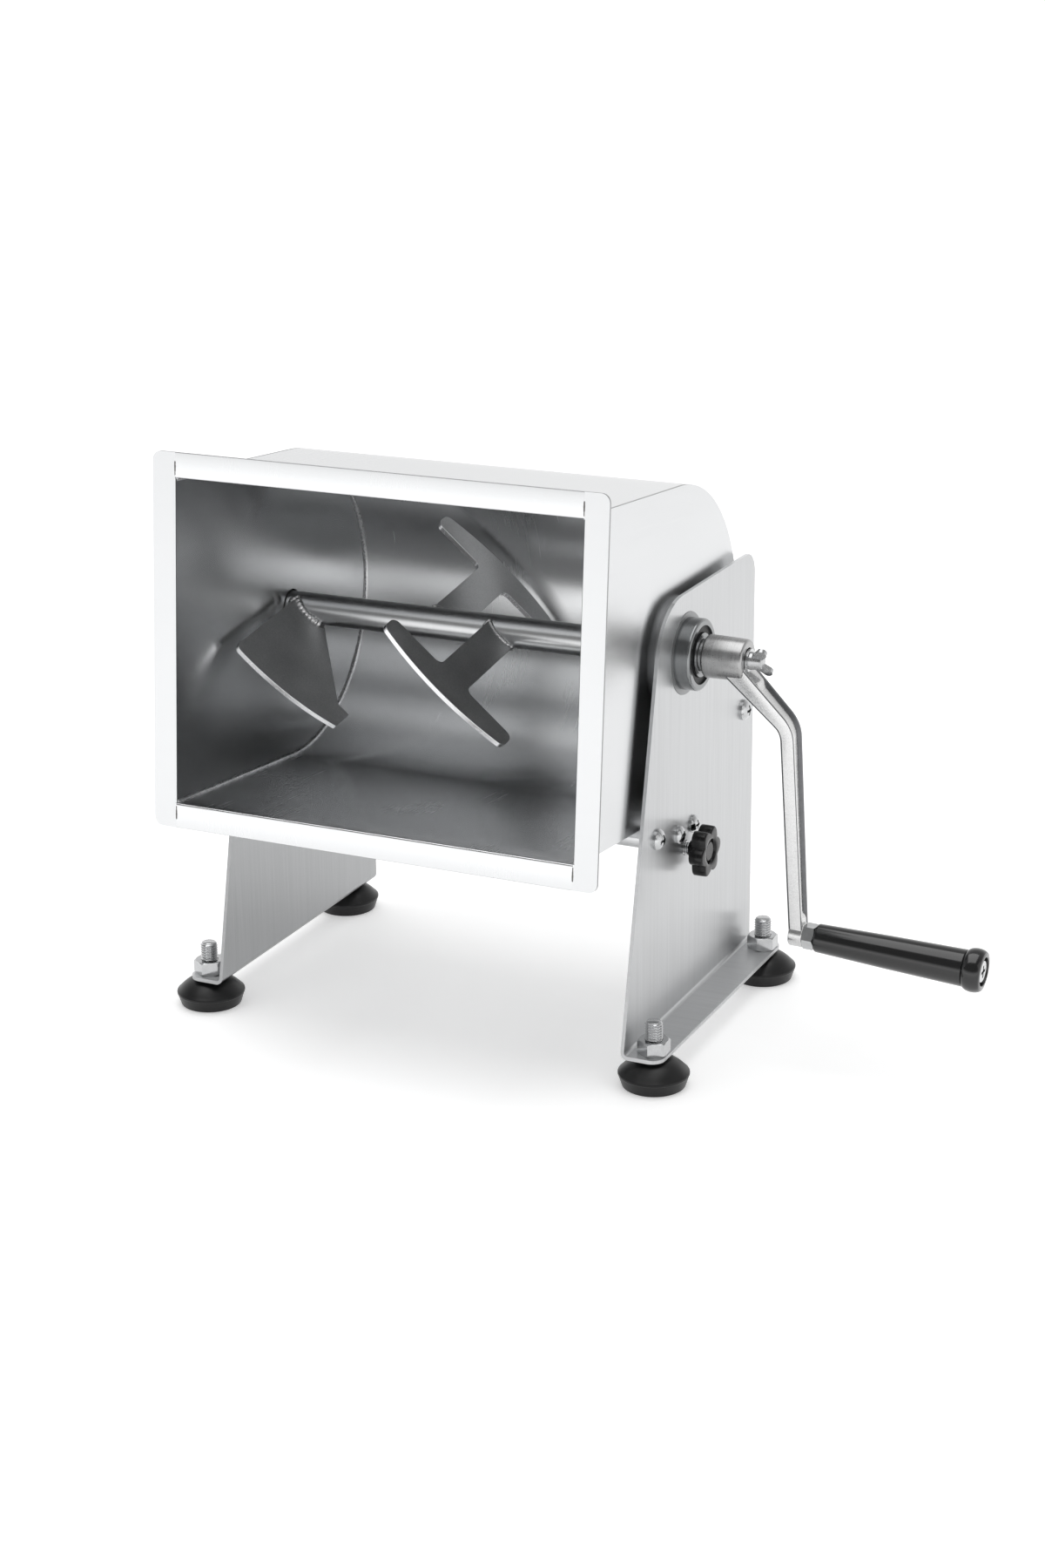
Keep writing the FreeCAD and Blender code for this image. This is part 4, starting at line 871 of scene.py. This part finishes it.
class MIXER_OT_stage(bpy.types.Operator):
    """Pale floor, white room, soft boxes and the camera"""
    bl_idname = "mixer.stage"
    bl_label = "Stage"

    def execute(self, context):
        stage = context.scene.mixer_stage
        self.floor(context)
        self.room(context, stage.sky)
        # Each soft box: name, power, size, place, and the point it faces
        for box in (("top_box", stage.top_light, 1.5, (-0.15, -0.1, 1.5), (0, 0, 0.1)),
                    ("side_box", stage.side_light, 1.0, (1.5, -0.5, 0.9), (0, 0, 0.15))):
            self.soft_box(context, *box)
        self.camera(context, stage)
        context.scene.view_settings.view_transform = "Standard"
        return {"FINISHED"}

    def floor(self, context):
        # Matt paper: nearly white, with the slight tooth of its surface. It glows by itself as painted light: less
        # near the middle, as a painted shadow under the mixer, and more in front.
        light = context.scene.mixer_colours.floor
        paper = finish("paper_floor_painted_glow", light, 0.985, (0.7, 0.85),
                       [((1.5, 1.5, 1.5), 2, (0.6, 0.6, 0.01)), ((220, 220, 220), 2, (0.8, 0.4, 0))],
                       {"IOR": 1.3, "Emission Color": (1, 1, 1, 1)})
        tree = paper.node_tree
        spot = add(tree, "ShaderNodeTexCoord", {}, {})["Object"]
        far = add(tree, "ShaderNodeVectorMath", {"operation": "LENGTH"}, {0: spot})["Value"]
        ahead = add(tree, "ShaderNodeSeparateXYZ", {}, {0: spot})["Y"]
        # Painted glow: weaker near the middle as a painted shadow under the mixer, stronger in front as painted
        # light.
        painted_glow = add(tree, "ShaderNodeMapRange", {}, {"Value": far, "From Min": 0.2, "From Max": 1.0,
                                                    "To Min": 0.38, "To Max": 0.65})[0]
        front = add(tree, "ShaderNodeMapRange", {}, {"Value": ahead, "From Min": -0.1, "From Max": -1.4,
                                                     "To Max": 0.54})[0]
        painted_glow = add(tree, "ShaderNodeMath", {"operation": "ADD"}, {0: painted_glow, 1: front})[0]
        tree.links.new(painted_glow, tree.nodes["Principled BSDF"].inputs["Emission Strength"])
        reach, below = np.linspace(-4, 4, 9), -0.0002
        x, y = np.meshgrid(reach, reach, indexing="ij")
        mesh = shell_mesh("floor", [sheet_of(np.stack([x, y, np.full_like(x, below)], -1))], 30)
        floor = bpy.data.objects.new("floor", mesh)
        context.scene.collection.objects.link(floor)
        mesh.materials.append(paper)

    def room(self, context, strength):
        """A bright band round the horizon, a dim room above it, dimmest in front; the backdrop is white."""
        world = bpy.data.worlds.new("white_room")
        world.use_nodes = True
        tree = world.node_tree
        tree.nodes.clear()
        place = add(tree, "ShaderNodeTexCoord", {}, {})["Generated"]
        part = add(tree, "ShaderNodeSeparateXYZ", {}, {0: place})
        behind = add(tree, "ShaderNodeMapRange", {"interpolation_type": "SMOOTHSTEP"},
                     {"Value": part["Y"], "From Min": -0.45, "From Max": 0.45})[0]
        above = add(tree, "ShaderNodeMapRange", {}, {"Value": behind, "To Min": 0.28, "To Max": 0.55})[0]
        rise = add(tree, "ShaderNodeMapRange", {}, {"Value": behind, "To Min": 0.26, "To Max": 0.78})[0]
        low = add(tree, "ShaderNodeMapRange", {"interpolation_type": "SMOOTHSTEP"},
                  {"Value": part["Z"], "From Min": rise, "From Max": 0.03})[0]
        band = add(tree, "ShaderNodeMapRange", {}, {"Value": behind, "To Min": 1.45, "To Max": 1.15})[0]
        lift = add(tree, "ShaderNodeMath", {"operation": "SUBTRACT"}, {0: band, 1: above})[0]
        level = add(tree, "ShaderNodeMath", {"operation": "MULTIPLY_ADD"}, {0: lift, 1: low, 2: above})[0]
        level = add(tree, "ShaderNodeMath", {"operation": "MULTIPLY"}, {0: level, 1: strength})[0]
        seen = add(tree, "ShaderNodeLightPath", {}, {})["Is Camera Ray"]
        power = add(tree, "ShaderNodeMath", {"operation": "MAXIMUM"}, {0: level, 1: seen})[0]
        light = add(tree, "ShaderNodeBackground", {}, {"Strength": power, "Color": (1, 1, 1, 1)})[0]
        add(tree, "ShaderNodeOutputWorld", {}, {"Surface": light})
        context.scene.world = world

    def soft_box(self, context, name, power, size, at, towards):
        lamp = bpy.data.lights.new(name, "AREA")
        lamp.energy = power
        lamp.size = size
        box = bpy.data.objects.new(name, lamp)
        back, right, up = across(np.array(at) - np.array(towards))
        box.matrix_world = Matrix(np.vstack([np.stack([right, up, back, at], -1), [0, 0, 0, 1]]).tolist())
        context.scene.collection.objects.link(box)

    def camera(self, context, stage):
        turn, rise = stage.turn, stage.rise
        back = np.array([math.sin(turn) * math.cos(rise), -math.cos(turn) * math.cos(rise), math.sin(rise)])
        right = np.array([math.cos(turn), math.sin(turn), 0])
        up = np.cross(back, right)
        cos, sin = math.cos(stage.roll), math.sin(stage.roll)
        at = np.array([stage.aim_x, stage.aim_y, stage.aim_z]) + back * stage.away
        axes = np.stack([cos * right + sin * up, cos * up - sin * right, back, at], -1)
        view = bpy.data.cameras.new("camera")
        view.lens = stage.lens
        view.sensor_width = 36
        view.clip_end = 50
        eye = bpy.data.objects.new("camera", view)
        eye.matrix_world = Matrix(np.vstack([axes, [0, 0, 0, 1]]).tolist())
        context.scene.collection.objects.link(eye)
        context.scene.camera = eye


steps = (MIXER_OT_finishes, MIXER_OT_plates, MIXER_OT_trough, MIXER_OT_tank_seams, MIXER_OT_paddles,
         MIXER_OT_crank, MIXER_OT_grip, MIXER_OT_wing_screw, MIXER_OT_knob, MIXER_OT_studs, MIXER_OT_pads,
         MIXER_OT_stage)


class MIXER_PT_panel(bpy.types.Panel):
    """Every step, and the colours and sizes it uses"""
    bl_idname = "MIXER_PT_panel"
    bl_label = "Meat mixer"
    bl_space_type = "VIEW_3D"
    bl_region_type = "UI"
    bl_category = "Mixer"

    def draw(self, context):
        for step in steps:
            self.layout.operator(step.bl_idname)
        for group in (context.scene.mixer_colours, context.scene.mixer_sizes, context.scene.mixer_stage):
            box = self.layout.box()
            for name in group.__annotations__:
                box.prop(group, name)


classes = (MixerColours, MixerSizes, MixerStage, *steps, MIXER_PT_panel)


def register():
    for each in classes:
        bpy.utils.register_class(each)
    bpy.types.Scene.mixer_colours = PointerProperty(type=MixerColours)
    bpy.types.Scene.mixer_sizes = PointerProperty(type=MixerSizes)
    bpy.types.Scene.mixer_stage = PointerProperty(type=MixerStage)


def unregister():
    del bpy.types.Scene.mixer_stage
    del bpy.types.Scene.mixer_sizes
    del bpy.types.Scene.mixer_colours
    for each in reversed(classes):
        bpy.utils.unregister_class(each)


def main():
    register()
    for step in steps:
        group, name = step.bl_idname.split(".")
        getattr(getattr(bpy.ops, group), name)()


if __name__ == "__main__":
    main()
